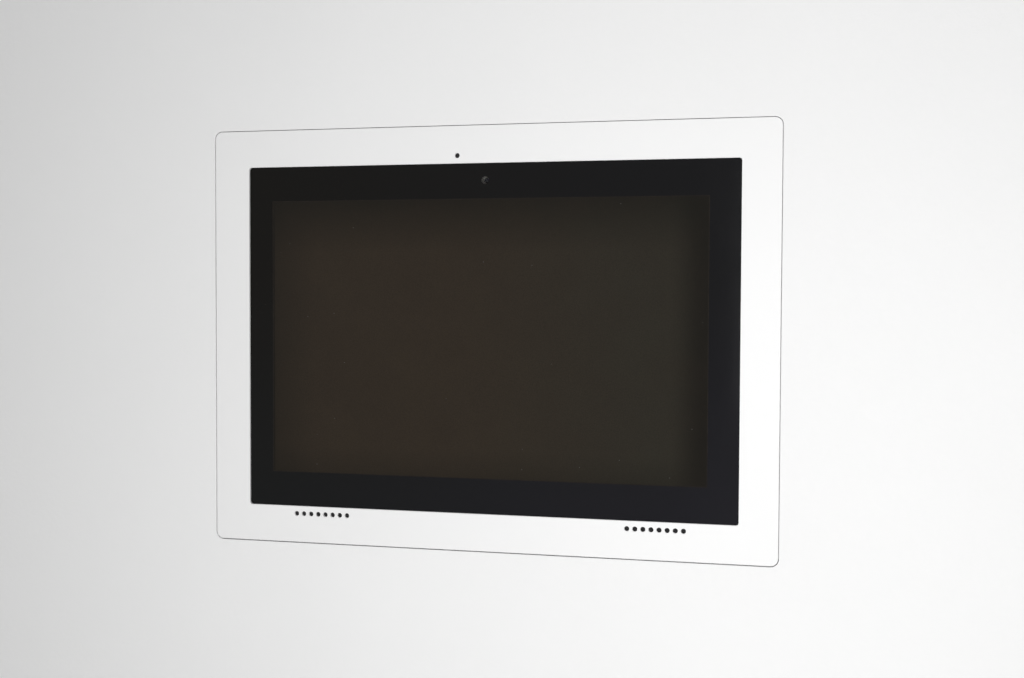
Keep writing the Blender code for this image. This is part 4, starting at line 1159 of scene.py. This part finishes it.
def glow_where_seen(tree, unseen, seen, strength):
    """Strength that is higher for the rays that show a background than for those that light."""
    paths = tree.nodes.new("ShaderNodeLightPath")
    total = paths.outputs["Is Camera Ray"]
    for name in ("Is Glossy Ray", "Is Transmission Ray"):
        either = tree.nodes.new("ShaderNodeMath")
        either.operation = "MAXIMUM"
        tree.links.new(total, either.inputs[0])
        tree.links.new(paths.outputs[name], either.inputs[1])
        total = either.outputs[0]
    share = tree.nodes.new("ShaderNodeMapRange")
    share.inputs["To Min"].default_value = unseen
    share.inputs["To Max"].default_value = seen
    tree.links.new(total, share.inputs["Value"])
    tree.links.new(share.outputs[0], strength)


def build_floor():
    paint = FINISHES["floor_paint"]
    shader = paint.node_tree.nodes["Principled BSDF"]
    shader.inputs["Emission Color"].default_value = (1.0, 1.0, 1.0, 1.0)
    glow_where_seen(paint.node_tree, 0.0, FLOOR_GLOW, shader.inputs["Emission Strength"])
    bm = bmesh.new()
    bmesh.ops.create_grid(bm, x_segments=1, y_segments=1, size=FLOOR_SIZE / 2)
    bmesh.ops.translate(bm, vec=(0.0, 0.0, FLOOR_LEVEL), verts=bm.verts)
    floor = loose_object(bm, "floor")
    floor.data.materials.append(paint)


def add_lamp(name, place, target, size, watts):
    light = bpy.data.lights.new(name, "AREA")
    light.shape = "RECTANGLE"
    light.size, light.size_y = size
    light.energy = watts
    lamp = bpy.data.objects.new(name, light)
    lamp.location = place
    lamp.rotation_euler = (Vector(target) - Vector(place)).to_track_quat("-Z", "Y").to_euler()
    lamp.visible_camera = False
    bpy.context.scene.collection.objects.link(lamp)


def light_room():
    """Even light from all round, a soft lamp beside the camera and two behind the wall."""
    world = bpy.data.worlds.new("studio")
    world.use_nodes = True
    background = world.node_tree.nodes["Background"]
    background.inputs["Color"].default_value = (1.0, 1.0, 1.0, 1.0)
    glow_where_seen(world.node_tree, ROOM_LIGHT, ROOM_VIEW, background.inputs["Strength"])
    bpy.context.scene.world = world
    for name, *values in LAMPS:
        add_lamp(name, *values)


def add_camera():
    data = bpy.data.cameras.new("camera")
    data.lens = LENS
    data.sensor_width = SENSOR
    data.clip_start = 0.01
    camera = bpy.data.objects.new("camera", data)
    look = Matrix.Rotation(EYE_YAW, 4, "Z") @ Matrix.Rotation(math.pi / 2 + EYE_PITCH, 4, "X")
    camera.matrix_world = Matrix.Translation(EYE) @ look @ Matrix.Rotation(EYE_ROLL, 4, "Z")
    bpy.context.scene.collection.objects.link(camera)
    bpy.context.scene.camera = camera


bpy.context.scene.view_settings.view_transform = "Standard"
add_camera()
light_room()
build_wall()
build_floor()
build_front_cover()
for mesh_node in ("speaker_mesh_left", "speaker_mesh_right", "microphone_mesh"):
    build_sound_mesh(mesh_node)
build_tablet_glass()
build_screws("frame_screw_", FRAME_SCREW)
build_screws("carrier_screw_", CARRIER_SCREW)
build_magnets()
build_standoffs()
build_grommet()
for pad_node in nodes_named("fastening_pad_"):
    build_pad(pad_node)
build_eased("trim_ring", "white_coat", FINE_EDGE)
build_eased("back_box", "zinc_steel", SHEET_EDGE)
build_eased("carrier_plate", "zinc_steel", SHEET_EDGE)
build_eased("tablet_back_shell", "shell_plastic", FINE_EDGE)
build_eased("tablet_chassis", "chassis_metal", FINE_EDGE)
build_eased("power_button", "shell_plastic", FINE_EDGE, 3)
build_eased("volume_rocker", "shell_plastic", FINE_EDGE, 3)
build_front_camera()
build_rear_camera()
build_display_panel()
build_battery()
build_main_board()
for speaker_node in ("tablet_speaker_left", "tablet_speaker_right"):
    build_tablet_speaker(speaker_node)
build_usb_port()
